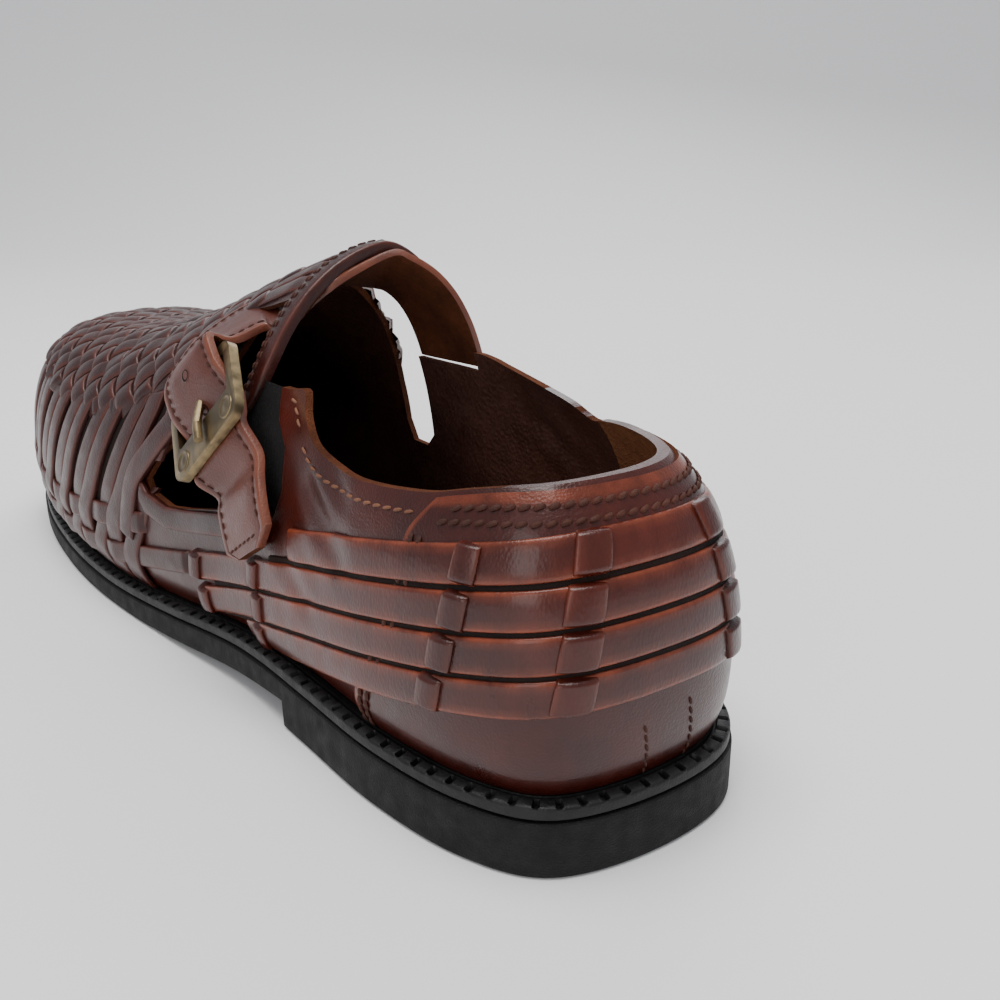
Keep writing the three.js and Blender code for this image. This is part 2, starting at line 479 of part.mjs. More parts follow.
// ---------------------------------------------------------------- buckle frame
function roundedRect(Cls, x0, y0, x1, y1, r) {
  const s = new Cls();
  s.moveTo(x0 + r, y0); s.lineTo(x1 - r, y0); s.absarc(x1 - r, y0 + r, r, -Math.PI / 2, 0, false);
  s.lineTo(x1, y1 - r); s.absarc(x1 - r, y1 - r, r, 0, Math.PI / 2, false);
  s.lineTo(x0 + r, y1); s.absarc(x0 + r, y1 - r, r, Math.PI / 2, Math.PI, false);
  s.lineTo(x0, y0 + r); s.absarc(x0 + r, y0 + r, r, Math.PI, 1.5 * Math.PI, false);
  return s;
}
const frameShape = roundedRect(THREE.Shape, -FRAME_A / 2, -FRAME_B / 2, FRAME_A / 2, FRAME_B / 2, 3.6);
frameShape.holes.push(roundedRect(THREE.Path, -FRAME_A / 2 + BAR, -FRAME_B / 2 + PLATE_BAR, FRAME_A / 2 - BAR, FRAME_B / 2 - BAR, 1.6));
const frameGeo = new THREE.ExtrudeGeometry(frameShape, { depth: FRAME_T, bevelEnabled: false, curveSegments: 5 });
frameGeo.translate(0, 0, -FRAME_T / 2);
const bar = (r, pts, sides = 10) => {
  const c = new THREE.CatmullRomCurve3(pts), sh = new THREE.Shape();
  for (let i = 0; i <= sides; i++) { const a = 2 * Math.PI * i / sides; i ? sh.lineTo(r * Math.cos(a), r * Math.sin(a)) : sh.moveTo(r, 0); }
  return new THREE.ExtrudeGeometry(sh, { extrudePath: c, steps: 10, bevelEnabled: false });
};
const prongPts = [new THREE.Vector3(0, 6.9, 0.2), new THREE.Vector3(0, 3.5, 0.7), new THREE.Vector3(0, -0.5, 1.9), new THREE.Vector3(0, -4, 2.55), new THREE.Vector3(0, -8.6, 2.6)];
const prongGeo = bar(PRONG_R, prongPts), prongRoom = bar(PRONG_R + 0.55, [new THREE.Vector3(0, 9, -0.2), ...prongPts.slice(0, 4), new THREE.Vector3(0, -6, 2.9)]);
for (const g of [frameGeo, prongGeo, prongRoom]) g.applyMatrix4(buckleMatrix);
strapSolid = strapSolid.subtract(solid(prongRoom));

// elastic between the buckle and the front edge of the quarter
const GORE = [
  { z: 52.5, back: 62.2, front: 48 }, { z: 57, back: 64.4, front: 46 }, { z: 62, back: 63.9, front: 43.5 },
  { z: 66.5, back: 62.4, front: 42 }, { z: 70.5, back: 57.8, front: 41 }, { z: 74, back: 56.0, front: 40 }, { z: 78, back: 53.8, front: 40 },
];
const goreGrid = GORE.map(r => [0, 0.2, 0.4, 0.6, 0.8, 1].map(k => surfaceAt(1, lerp(r.back, r.front, k), r.z)));
const goreGeo = patch(goreGrid, -1.9, -0.8);

const mat = (c, r, m = 0) => new THREE.MeshStandardMaterial({ color: c, roughness: r, metalness: m });
const group = new THREE.Group();
// the row's origin is the middle of the footprint, on the floor
const ORIGIN_X = 1.65, ORIGIN_Y = -0.06;
const add = (name, geo, material) => { geo.translate(-ORIGIN_X, -ORIGIN_Y, 0); const m = new THREE.Mesh(geo, material); m.name = name; group.add(m); return m; };
add('outsole', outsoleGeo, mat(0x17171a, 0.8));
add('welt', weltGeo, mat(0x111113, 0.75));
add('insole', insoleGeo, mat(0x3a2218, 0.85));
add('upper', fromSolid(upperSolid), mat(0x6a2718, 0.4));
add('counter_band', counterBandGeo, mat(0x702c1b, 0.42));
add('strap', fromSolid(strapSolid), mat(0x7a3320, 0.42));
add('elastic_gore', goreGeo, mat(0x1b1415, 0.9));
add('buckle_frame', frameGeo, mat(0x8a6f45, 0.35, 1));
add('buckle_prong', prongGeo, mat(0x97794a, 0.35, 1));
export default group;
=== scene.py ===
"""Huarache sandal, left shoe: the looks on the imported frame.

Lengths in the tables are millimetres in the shoe's own frame: toe towards -Y, heel +Y,
outer side +X, z = 0 on the floor. SHIFT moves them to the row's origin.
"""
import math

import bpy
import numpy as np
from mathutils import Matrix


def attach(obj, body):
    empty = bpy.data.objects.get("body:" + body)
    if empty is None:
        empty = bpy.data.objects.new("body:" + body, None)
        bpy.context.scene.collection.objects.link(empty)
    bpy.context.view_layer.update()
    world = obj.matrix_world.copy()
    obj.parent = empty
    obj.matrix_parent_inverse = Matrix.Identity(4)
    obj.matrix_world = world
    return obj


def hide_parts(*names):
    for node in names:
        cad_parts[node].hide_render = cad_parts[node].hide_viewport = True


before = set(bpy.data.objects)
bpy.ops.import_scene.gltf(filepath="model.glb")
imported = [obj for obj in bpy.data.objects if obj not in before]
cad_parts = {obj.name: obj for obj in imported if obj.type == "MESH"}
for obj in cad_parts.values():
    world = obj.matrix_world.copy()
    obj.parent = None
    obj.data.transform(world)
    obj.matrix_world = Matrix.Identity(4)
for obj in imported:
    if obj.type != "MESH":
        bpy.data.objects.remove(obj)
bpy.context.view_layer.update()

SHIFT = np.array([1.65, -0.06, 0.0])

# ------------------------------------------------------------ the last, millimetres
FEATHER_IN, RIM_HEEL, RIM_FORE, TOE_SPRING, SPRING_Y = 4.5, 15.4, 9.5, 7.8, -60.0
BREAST_Y, WAIST_RISE, WAIST_END_Y, WELT_T = 66.0, 6.4, -12.0, 3.4
SOLE_EDGE = [(0, 150.5), (22.9, 145.5), (33.6, 130), (38.6, 105), (39.5, 75), (40.4, 40), (45.2, 5), (49.8, -35),
             (50.0, -70), (46.6, -105), (37.5, -133), (15.5, -148), (-8, -150), (-28, -141), (-41, -118), (-46.5, -85),
             (-46, -50), (-38.5, -10), (-32.5, 30), (-34, 70), (-37, 105), (-34, 131), (-21.5, 146.5)]
# y, ridge x, ridge z, plan roundness, top exponent outer and inner, sole lip
LAST = [(107, 0.5, 84, 2.0, 4.3, 3.05, 0.9), (90, 0.0, 89, 1.9, 4.0, 3.2, 0.8), (68, -2.0, 99, 1.75, 3.3, 3.2, 0.7),
        (46, -4.0, 106, 1.7, 3.0, 3.0, 0.5), (28, -3.6, 101.5, 1.75, 2.85, 2.85, 0.4), (6, -2.6, 94, 1.85, 2.8, 2.8, 0.1),
        (-20, -1.2, 84.5, 2.0, 2.85, 2.8, -0.4), (-45, -0.4, 77, 2.35, 2.95, 2.9, -0.8), (-68, 0.0, 73, 2.7, 3.0, 3.0, -1.0),
        (-86, 0.4, 71.2, 3.0, 3.1, 3.1, -0.9), (-98, 0.6, 70.8, 3.2, 3.1, 3.1, -0.4)]
HEEL_Y, TOE_Y = 107.0, -98.0
# y, top line outer, inner
COLLAR = [(46.5, 78.5, 74.5), (52, 77.5, 78.6), (57.5, 77.5, 79.2), (63.5, 78.3, 78.8), (68.5, 73.2, 78), (75, 69, 77.2),
          (85, 66.8, 76), (94, 66.4, 74.4), (101, 66.8, 71.4), (107, 67.4, 73), (114, 68.4, 73.6), (121, 70.2, 73.2),
          (130, 72, 72.8), (139, 73, 73), (160, 74, 74)]


def pchip(xs, ys):
    """monotone cubic through a table"""
    o = np.argsort(xs)
    x, y = np.array(xs, float)[o], np.array(ys, float)[o]
    h, d = np.diff(x), np.diff(y) / np.diff(x)
    s = np.zeros(len(x))
    for i in range(1, len(x) - 1):
        if d[i - 1] * d[i] > 0:
            w1, w2 = 2 * h[i] + h[i - 1], h[i] + 2 * h[i - 1]
            s[i] = (w1 + w2) / (w1 / d[i - 1] + w2 / d[i])
    s[0], s[-1] = d[0], d[-1]

    def f(v):
        v = np.clip(np.asarray(v, float), x[0], x[-1])
        i = np.clip(np.searchsorted(x, v, side="right") - 1, 0, len(x) - 2)
        t = (v - x[i]) / h[i]
        t2, t3 = t * t, t * t * t
        return (2 * t3 - 3 * t2 + 1) * y[i] + (t3 - 2 * t2 + t) * h[i] * s[i] + (-2 * t3 + 3 * t2) * y[i + 1] + (t3 - t2) * h[i] * s[i + 1]
    return f


_L = np.array(LAST, float)
ridge_x, ridge_z, n_of, m_of, min_of, lip_of = [pchip(_L[:, 0], _L[:, k]) for k in range(1, 7)]
_C = np.array(COLLAR, float)
collar_outer, collar_inner = pchip(_C[:, 0], _C[:, 1]), pchip(_C[:, 0], _C[:, 2])


def smooth(a, b, v):
    t = np.clip((np.asarray(v, float) - a) / (b - a), 0, 1)
    return t * t * (3 - 2 * t)


def closed_curve(rows, per=40):
    p = np.array(rows, float)
    n, out = len(p), []
    for i in range(n):
        a, b, c, d = p[(i - 1) % n], p[i], p[(i + 1) % n], p[(i + 2) % n]
        t = np.arange(per)[:, None] / per
        out.append(0.5 * ((2 * b) + (-a + c) * t + (2 * a - 5 * b + 4 * c - d) * t ** 2 + (-a + 3 * b - 3 * c + d) * t ** 3))
    return np.vstack(out)


EDGE = closed_curve(SOLE_EDGE)            # heel centre first, round the outer side


def inset(d):
    t = np.roll(EDGE, -2, 0) - np.roll(EDGE, 2, 0)
    t /= np.linalg.norm(t, axis=1)[:, None]
    dd = (d(EDGE[:, 1]) if callable(d) else np.full(len(EDGE), float(d)))[:, None]
    return EDGE - np.stack([-t[:, 1], t[:, 0]], 1) * dd


BODY = inset(lambda y: lip_of(np.clip(y, TOE_Y, HEEL_Y)))
_seg = np.linalg.norm(np.roll(BODY, -1, 0) - BODY, axis=1)
_cum = np.concatenate([[0], np.cumsum(_seg)])
GIRTH = _cum[-1]
spring = lambda y: TOE_SPRING * np.clip((SPRING_Y - np.asarray(y, float)) / 90, 0, 1) ** 1.8
rim_z = lambda y: RIM_FORE + (RIM_HEEL - RIM_FORE) * smooth(-30, 70, y) + spring(y)


def edge_at(q):
    """point of the widest line, q millimetres from the heel centre round the outer side (negative: inner)"""
    q = np.mod(np.asarray(q, float), GIRTH)
    return np.stack([np.interp(q, _cum, np.append(BODY[:, k], BODY[0, k])) for k in (0, 1)], -1)


def q_of_y(y, side):
    """q where the widest line passes y on a side"""
    n = len(BODY)
    i = np.arange(n)
    toe = int(np.argmin(BODY[:, 1]))
    idx = np.arange(0, toe + 1) if side > 0 else np.arange(toe, n)
    yy, qq = BODY[idx, 1], _cum[idx]
    if side < 0:
        qq = qq - GIRTH
    o = np.argsort(yy)
    return np.interp(y, yy[o], qq[o])


def station(q):
    b = edge_at(q)
    by = b[..., 1]
    sy = np.clip(by, TOE_Y, HEEL_Y)
    return b, np.stack([ridge_x(sy), sy], -1)


def profile(b, s):
    d = b - s
    l = np.linalg.norm(d, axis=-1)
    n = n_of(s[..., 1])
    k = smooth(-1, 0, d[..., 0] / l)
    m = min_of(s[..., 1]) * (1 - k) + m_of(s[..., 1]) * k
    return d, l, n, m, rim_z(b[..., 1]), ridge_z(s[..., 1])


def last_t(q, t, lift=0.3):
    """t 0 on the feather line, 1 on the ridge"""
    b, s = station(q)
    d, l, n, m, z0, z1 = profile(b, s)
    a = np.clip(t, 0, 1) * np.pi / 2
    w, h = np.maximum(np.cos(a), 0) ** (2 / n), np.sin(a) ** (2 / m)
    z0 = z0 + lift
    z = z0 + h * (z1 - z0)
    tuck = (FEATHER_IN - lip_of(np.clip(b[..., 1], TOE_Y, HEEL_Y))) * np.exp(-(z - z0) / 5)
    r = np.maximum(l * w - tuck * w, 0)
    return np.stack([s[..., 0] + d[..., 0] / l * r, s[..., 1] + d[..., 1] / l * r, z], -1)


def t_of_z(q, z):
    b, s = station(q)
    d, l, n, m, z0, z1 = profile(b, s)
    h = np.clip((z - z0) / (z1 - z0), 0, 1)
    return np.arcsin(h ** (m / 2)) / (np.pi / 2)


def last_z(q, z):
    return last_t(q, t_of_z(q, z), 0.0)


_ang = {}




# ------------------------------------------------------------ charts on the last
_NQ, _NT = 1404, 260
_tq = np.linspace(0, GIRTH, _NQ + 1)
_tt = np.concatenate([np.linspace(0, 0.8, 160, endpoint=False), 1 - 0.2 * (1 - np.linspace(0, 1, 100)) ** 1.6])
_P = last_t(_tq[:, None] + 0 * _tt[None, :], _tt[None, :] + 0 * _tq[:, None], 0.0)
_d = np.linalg.norm(np.diff(_P[:, ::-1], axis=1), axis=-1)
_arc = np.concatenate([np.zeros((_NQ + 1, 1)), np.cumsum(_d, axis=1)], 1)        # from the ridge down
ARC_STEP = 0.5
_ga = np.arange(0, 150, ARC_STEP)
_T = np.stack([np.interp(_ga, _arc[i], _tt[::-1]) for i in range(_NQ + 1)])
ARC_FULL = _arc[:, -1]
_toe_i = np.where(BODY[:, 1] < TOE_Y + 3)[0]
_toe_a = np.arctan2(BODY[_toe_i, 1] - TOE_Y, BODY[_toe_i, 0] - float(ridge_x(TOE_Y)))
_o = np.argsort(_toe_a)
_toe_a, _toe_q = _toe_a[_o], _cum[_toe_i][_o]


def uv_to_qt(u, v):
    """u: arc across from the ridge, outer side positive. v: along the shoe, past the toe point radially"""
    u, v = np.asarray(u, float), np.asarray(v, float)
    q = np.where(u >= 0, q_of_y(np.clip(v, TOE_Y, HEEL_Y), 1), q_of_y(np.clip(v, TOE_Y, HEEL_Y), -1))
    a = np.arctan2(v - TOE_Y, u)
    q = np.where(v < TOE_Y, np.interp(a, _toe_a, _toe_q), q)
    r = np.where(v < TOE_Y, np.hypot(u, v - TOE_Y), np.abs(u))
    q = np.mod(q, GIRTH)
    i = q / GIRTH * _NQ
    i0 = np.clip(np.floor(i).astype(int), 0, _NQ - 1)
    fi = i - i0
    j = np.clip(r / ARC_STEP, 0, len(_ga) - 1.001)
    j0 = np.floor(j).astype(int)
    fj = j - j0
    t = ((_T[i0, j0] * (1 - fj) + _T[i0, j0 + 1] * fj) * (1 - fi) + (_T[i0 + 1, j0] * (1 - fj) + _T[i0 + 1, j0 + 1] * fj) * fi)
    return q, t


def chart_uv(u, v):
    q, t = uv_to_qt(u, v)
    return last_t(q, t, 0.0)


def chart_qz(q, z):
    return last_z(q, z)


def chart_qt(q, t):
    return last_t(q, t, 0.0)


def with_normal(f, u, v, e=0.6, ev=None):
    ev = e if ev is None else ev
    p = f(u, v)
    a, b = f(u + e, v) - f(u - e, v), f(u, v + ev) - f(u, v - ev)
    n = np.cross(a, b)
    n /= np.maximum(np.linalg.norm(n, axis=-1), 1e-9)[..., None]
    c = np.stack([0 * p[..., 0], np.clip(p[..., 1], TOE_Y, HEEL_Y), 0 * p[..., 0] + 38.0], -1)
    s = np.sign(((p - c) * n).sum(-1))
    s[s == 0] = 1
    return p, n * s[..., None]


def in_poly(x, y, poly):
    poly = np.asarray(poly, float)
    x, y = np.asarray(x, float), np.asarray(y, float)
    inside = np.zeros(x.shape, bool)
    j = len(poly) - 1
    for i in range(len(poly)):
        xi, yi, xj, yj = poly[i, 0], poly[i, 1], poly[j, 0], poly[j, 1]
        c = ((yi > y) != (yj > y)) & (x < (xj - xi) * (y - yi) / (yj - yi + 1e-12) + xi)
        inside ^= c
        j = i
    return inside


# side view outlines of the openings, y and z
OUTER_CUT = [(-3, 44), (0, 41), (10, 39.5), (19, 41), (45, 47), (62, 50), (65, 57), (63.5, 66), (58, 71), (55.2, 77), (55.2, 97),
             (46.7, 97), (46.7, 90.5), (29, 91.5), (26.5, 80), (24, 72), (20, 65), (13.5, 59.5), (3, 51.5)]
INNER_CUT = [(11, 52), (14, 46.5), (23, 47), (27.5, 51), (28, 74), (54.3, 74), (54.3, 130), (19, 130), (16, 82), (12, 64)]
SADDLE_INNER_X = -9


def solid_here(p):
    """true where the wall of the upper is closed"""
    x, y, z = p[..., 0], p[..., 1], p[..., 2]
    o = (x > 4) & in_poly(y, z, OUTER_CUT)
    i = (x < SADDLE_INNER_X) & in_poly(y, z, INNER_CUT)
    k = smooth(-16, 16, x)
    c = (y > 46.5) & (z > collar_inner(y) * (1 - k) + collar_outer(y) * k)
    return ~(o | i | c)


# ------------------------------------------------------------ mesh gathering
class Gather:
    """grids and loose parts joined into one mesh; wear is a 0..1 value per vertex"""

    def __init__(self):
        self.v, self.f, self.m, self.w, self.n = [], [], [], [], 0

    def add(self, verts, faces, mat=0, wear=None):
        verts = np.asarray(verts, float).reshape(-1, 3)
        self.v.append(verts)
        self.w.append(np.zeros(len(verts)) if wear is None else np.broadcast_to(np.asarray(wear, float).reshape(-1), (len(verts),)))
        faces = np.asarray(faces) + self.n
        self.f.append(faces)
        self.m.append(np.full(len(faces), mat))
        self.n += len(verts)

    def grid(self, P, mat=0, wear=None, wrap=False, out=None):
        R, C = P.shape[:2]
        r = np.arange(R if wrap else R - 1)[:, None]
        c = np.arange(C - 1)[None, :]
        a = r * C + c
        b = ((r + 1) % R) * C + c
        q = np.stack([a, a + 1, b + 1, b], -1).reshape(-1, 4)
        if out is not None:
            F = P.reshape(-1, 3)
            n = np.cross(F[q[:, 2]] - F[q[:, 0]], F[q[:, 3]] - F[q[:, 1]])
            if (n * out.reshape(-1, 3)[q[:, 0]]).sum() < 0:
                q = q[:, ::-1]
        self.add(P, q, mat, wear)

    def make(self, name, mats, smooth_angle=50):
        v = (np.vstack(self.v) - SHIFT) / 1000.0
        me = bpy.data.meshes.new(name)
        faces = [tuple(int(k) for k in f) for blk in self.f for f in blk]
        me.from_pydata([tuple(p) for p in v.tolist()], [], faces)
        for m in mats:
            me.materials.append(m)
        me.polygons.foreach_set("material_index", np.concatenate(self.m).astype(np.int32))
        at = me.attributes.new("wear", "FLOAT", "POINT")
        at.data.foreach_set("value", np.concatenate(self.w).astype(np.float32))
        me.update()
        me.shade_smooth()
        me.set_sharp_from_angle(angle=math.radians(smooth_angle))
        ob = bpy.data.objects.new(name, me)
        bpy.context.scene.collection.objects.link(ob)
        return ob


# cross-section of a cut leather strip: across, height in thicknesses, wear on the corner
STRIP = [(-1, -1.0, 0), (-1.0, -0.4, 0.3), (-0.975, -0.15, 0.8), (-0.9, -0.02, 1.0), (-0.74, 0.03, 0.35), (-0.35, 0.05, 0), (0, 0.06, 0),
         (0.35, 0.05, 0), (0.74, 0.03, 0.35), (0.9, -0.02, 1.0), (0.975, -0.15, 0.8), (1.0, -0.4, 0.3), (1, -1.0, 0)]
_SC = np.array(STRIP, float)


def runs(mask, least=4):
    out, i, n = [], 0, len(mask)
    while i < n:
        if mask[i]:
            j = i
            while j + 1 < n and mask[j + 1]:
                j += 1
            if j - i + 1 >= least:
                out.append((i, j + 1))
            i = j + 1
        else:
            i += 1
    return out


def ribbon(g, f, u, v, half, off, thick=1.3, mat=0, dip=(1.6, 1.6), base=-1.5, clip=True, across=None, crown=0.0, wear=1.0):
    """leather strip along a centre line in a chart; off is the height of its face over the last"""
    u, v = np.asarray(u, float), np.asarray(v, float)
    half = np.broadcast_to(np.asarray(half, float), u.shape)
    off = np.broadcast_to(np.asarray(off, float), u.shape)
    pc = f(u, v)
    mask = solid_here(pc) if clip else np.ones(len(u), bool)
    for i, j in runs(mask):
        uu, vv, hh, oo, pp = u[i:j], v[i:j], half[i:j], off[i:j].copy(), pc[i:j]
        s = np.concatenate([[0], np.cumsum(np.linalg.norm(np.diff(pp, axis=0), axis=1))])
        L = s[-1]
        if L < 3:
            continue
        for d, e in ((dip[0], s), (dip[1], L - s)):
            if d > 0:
                k = smooth(0, d, e)
                oo = base + (oo - base) * k
        if across is None:
            du, dv = np.gradient(uu), np.gradient(vv)
            l = np.hypot(du, dv)
            px, py = -dv / l, du / l
        else:
            px, py = np.full(len(uu), across[0]), np.full(len(uu), across[1])
        C = _SC[:, 0][None, :]
        U, V = uu[:, None] + px[:, None] * hh[:, None] * C, vv[:, None] + py[:, None] * hh[:, None] * C
        p, n = with_normal(f, U, V)
        h = oo[:, None] + _SC[:, 1][None, :] * thick + crown * (1 - C ** 2)
        g.grid(p + n * h[..., None], mat, wear * _SC[:, 2][None, :] + 0 * h, out=n)


def stitches(g, P, N, length=2.5, gap=0.9, r=0.42, lift=0.1, tilt=0.18, mat=0):
    """short rounded threads laid along a line of points"""
    P, N = np.asarray(P, float), np.asarray(N, float)
    s = np.concatenate([[0], np.cumsum(np.linalg.norm(np.diff(P, axis=0), axis=1))])
    at = np.arange(length / 2, s[-1] - length / 2, length + gap)
    if not len(at):
        return
    c = np.stack([np.interp(at, s, P[:, k]) for k in range(3)], -1)
    n = np.stack([np.interp(at, s, N[:, k]) for k in range(3)], -1)
    e = np.stack([np.interp(at + 0.3, s, P[:, k]) - np.interp(at - 0.3, s, P[:, k]) for k in range(3)], -1)
    e /= np.linalg.norm(e, axis=1)[:, None]
    n /= np.linalg.norm(n, axis=1)[:, None]
    b = np.cross(n, e)
    e = e * math.cos(tilt) + b * math.sin(tilt)
    b = np.cross(n, e)
    rings = [(-0.5, 0.25, -0.5), (-0.42, 0.7, 0.0), (-0.2, 1.0, 0.35), (0.2, 1.0, 0.35), (0.42, 0.7, 0.0), (0.5, 0.25, -0.5)]
    K = 6
    for k in range(len(at)):
        P2 = []
        for a, w, z in rings:
            for m in range(K):
                th = 2 * math.pi * m / K
                P2.append(c[k] + e[k] * a * length + b[k] * math.cos(th) * r * w + n[k] * (math.sin(th) * r * w * 0.8 + z * r + lift))
        f = []
        for i in range(len(rings) - 1):
            for m in range(K):
                f.append((i * K + m, i * K + (m + 1) % K, (i + 1) * K + (m + 1) % K, (i + 1) * K + m))
        g.add(np.array(P2), np.array(f), mat)


# ------------------------------------------------------------ materials
def node(nt, kind, **kw):
    n = nt.nodes.new(kind)
    for k, v in kw.items():
        setattr(n, k, v)
    return n


def ramp(nt, fac, stops):
    r = node(nt, "ShaderNodeValToRGB")
    e = r.color_ramp.elements
    while len(e) < len(stops):
        e.new(0.5)
    for x, (pos, col) in zip(e, stops):
        x.position = pos
        x.color = (*col, 1) if len(col) == 3 else col
    nt.links.new(fac, r.inputs["Fac"])
    return r.outputs["Color"]


def material(name, dark, mid, edge=None, rough=(0.35, 0.55), spec=0.5, coat=0.0, coat_rough=0.2, metal=0.0, grain=1800, grain_h=0.00006,
             crease=140, crease_h=0.00012, patch=22, streak=None, sheen=0.0, wear_rough=0.0):
    m = bpy.data.materials.new(name)
    m.use_nodes = True
    nt = m.node_tree
    bs = nt.nodes["Principled BSDF"]
    tc = node(nt, "ShaderNodeTexCoord")
    co = tc.outputs["Object"]
    if streak:
        mp = node(nt, "ShaderNodeMapping")
        mp.inputs["Scale"].default_value = streak
        nt.links.new(co, mp.inputs["Vector"])
        co2 = mp.outputs["Vector"]
    else:
        co2 = co
    n1 = node(nt, "ShaderNodeTexNoise")
    n1.inputs["Scale"].default_value = patch
    n1.inputs["Detail"].default_value = 5
    n1.inputs["Roughness"].default_value = 0.6
    nt.links.new(co, n1.inputs["Vector"])
    base = ramp(nt, n1.outputs["Fac"], [(0.32, dark), (0.68, mid)])
    n3 = node(nt, "ShaderNodeTexNoise")
    n3.inputs["Scale"].default_value = crease
    n3.inputs["Detail"].default_value = 6
    nt.links.new(co2, n3.inputs["Vector"])
    mx = node(nt, "ShaderNodeMix", data_type="RGBA", blend_type="MULTIPLY")
    mx.inputs["Factor"].default_value = 0.55
    nt.links.new(base, mx.inputs["A"])
    nt.links.new(ramp(nt, n3.outputs["Fac"], [(0.3, (0.62, 0.58, 0.56)), (0.72, (1.12, 1.08, 1.05))]), mx.inputs["B"])
    col = mx.outputs["Result"]
    if edge:
        at = node(nt, "ShaderNodeAttribute", attribute_name="wear")
        mm = node(nt, "ShaderNodeMath", operation="MULTIPLY")
        nt.links.new(at.outputs["Fac"], mm.inputs[0])
        nt.links.new(ramp(nt, n3.outputs["Fac"], [(0.3, (0.25, 0.25, 0.25)), (0.65, (1, 1, 1))]), mm.inputs[1])
        me = node(nt, "ShaderNodeMix", data_type="RGBA")
        nt.links.new(mm.outputs["Value"], me.inputs["Factor"])
        nt.links.new(col, me.inputs["A"])
        me.inputs["B"].default_value = (*edge, 1)
        col = me.outputs["Result"]
    nt.links.new(col, bs.inputs["Base Color"])
    rr = node(nt, "ShaderNodeMapRange")
    rr.inputs["From Min"].default_value, rr.inputs["From Max"].default_value = 0.3, 0.7
    rr.inputs["To Min"].default_value, rr.inputs["To Max"].default_value = rough
    nt.links.new(n3.outputs["Fac"], rr.inputs["Value"])
    nt.links.new(rr.outputs["Result"], bs.inputs["Roughness"])
    n2 = node(nt, "ShaderNodeTexVoronoi")
    n2.inputs["Scale"].default_value = grain
    nt.links.new(co2, n2.inputs["Vector"])
    b1 = node(nt, "ShaderNodeBump")
    b1.inputs["Strength"].default_value = 1.0
    b1.inputs["Distance"].default_value = grain_h
    nt.links.new(n2.outputs["Distance"], b1.inputs["Height"])
    b2 = node(nt, "ShaderNodeBump")
    b2.inputs["Strength"].default_value = 1.0
    b2.inputs["Distance"].default_value = crease_h
    nt.links.new(n3.outputs["Fac"], b2.inputs["Height"])
    nt.links.new(b1.outputs["Normal"], b2.inputs["Normal"])
    nt.links.new(b2.outputs["Normal"], bs.inputs["Normal"])
    bs.inputs["Specular IOR Level"].default_value = spec
    bs.inputs["Metallic"].default_value = metal
    bs.inputs["Coat Weight"].default_value = coat
    bs.inputs["Coat Roughness"].default_value = coat_rough
    bs.inputs["Sheen Weight"].default_value = sheen
    return m


ORANGE = (0.21, 0.042, 0.016)
LEATHER = material("leather_redbrown", (0.020, 0.0031, 0.0021), (0.068, 0.0090, 0.0045), ORANGE, (0.27, 0.42), 0.3, 0.30, 0.16)
LEATHER_LIGHT = material("leather_orange_brown", (0.050, 0.0088, 0.0046), (0.108, 0.0200, 0.0088), (0.19, 0.048, 0.018), (0.34, 0.5), 0.5, 0.15, 0.35)
STRIPS_MAT = material("leather_strips", (0.026, 0.0040, 0.0026), (0.082, 0.0112, 0.0053), ORANGE, (0.27, 0.42), 0.3, 0.30, 0.16, crease=220, streak=(1, 1, 0.5))
VAMP_MAT = material("leather_vamp", (0.018, 0.0035, 0.0028), (0.046, 0.0084, 0.0060), (0.085, 0.017, 0.009), (0.32, 0.48), 0.32, 0.22, 0.24, crease=220)
# painted shade: a near-black material put on the wall behind the open forefoot weave, in the slits between the quarter
# strips and inside the strap holes, where only shadow is seen
PAINTED_SHADE_GAP = material("painted_shade_in_gaps", (0.006, 0.003, 0.0025), (0.014, 0.006, 0.004), None, (0.7, 0.9), 0.2)
SUEDE = material("cut_edge_suede", (0.055, 0.019, 0.010), (0.14, 0.046, 0.021), None, (0.85, 0.98), 0.08, crease=900, crease_h=0.0003, grain=2600, grain_h=0.0002, patch=60, sheen=0.0)
LINING = material("lining_pebbled", (0.050, 0.0190, 0.0135), (0.100, 0.0370, 0.0240), None, (0.42, 0.62), 0.4, grain=900, grain_h=0.00025)
HEEL_PATCH = material("heel_patch_suede", (0.20, 0.080, 0.038), (0.40, 0.180, 0.085), None, (0.9, 1.0), 0.06, crease=700, crease_h=0.0003, grain=2400, grain_h=0.0002, sheen=0.0)
THREAD = material("thread_brown", (0.028, 0.0085, 0.0055), (0.075, 0.022, 0.012), None, (0.6, 0.8), 0.3, crease=1500, crease_h=0.0001)
THREAD_LIGHT = material("thread_tan", (0.12, 0.047, 0.025), (0.23, 0.105, 0.06), None, (0.6, 0.8), 0.3, crease=1500, crease_h=0.0001)
RUBBER = material("rubber_outsole", (0.0032, 0.0032, 0.0034), (0.0080, 0.0079, 0.0082), None, (0.6, 0.82), 0.28, crease=260, crease_h=0.00012, grain=2600, grain_h=0.00012)
WELT_MAT = material("rubber_welt", (0.0026, 0.0026, 0.0028), (0.0062, 0.0062, 0.0065), (0.014, 0.014, 0.015), (0.42, 0.6), 0.36, crease=300, crease_h=0.00006)
ELASTIC = material("elastic_black", (0.0030, 0.0027, 0.0027), (0.0080, 0.0070, 0.0070), None, (0.75, 0.95), 0.2, crease=1200, crease_h=0.0002)
BRASS = material("brass_antique", (0.085, 0.066, 0.040), (0.175, 0.137, 0.082), (0.46, 0.35, 0.19), (0.34, 0.5), 0.5, metal=1.0, crease=420, crease_h=0.00003, grain=3000, grain_h=0.00001)


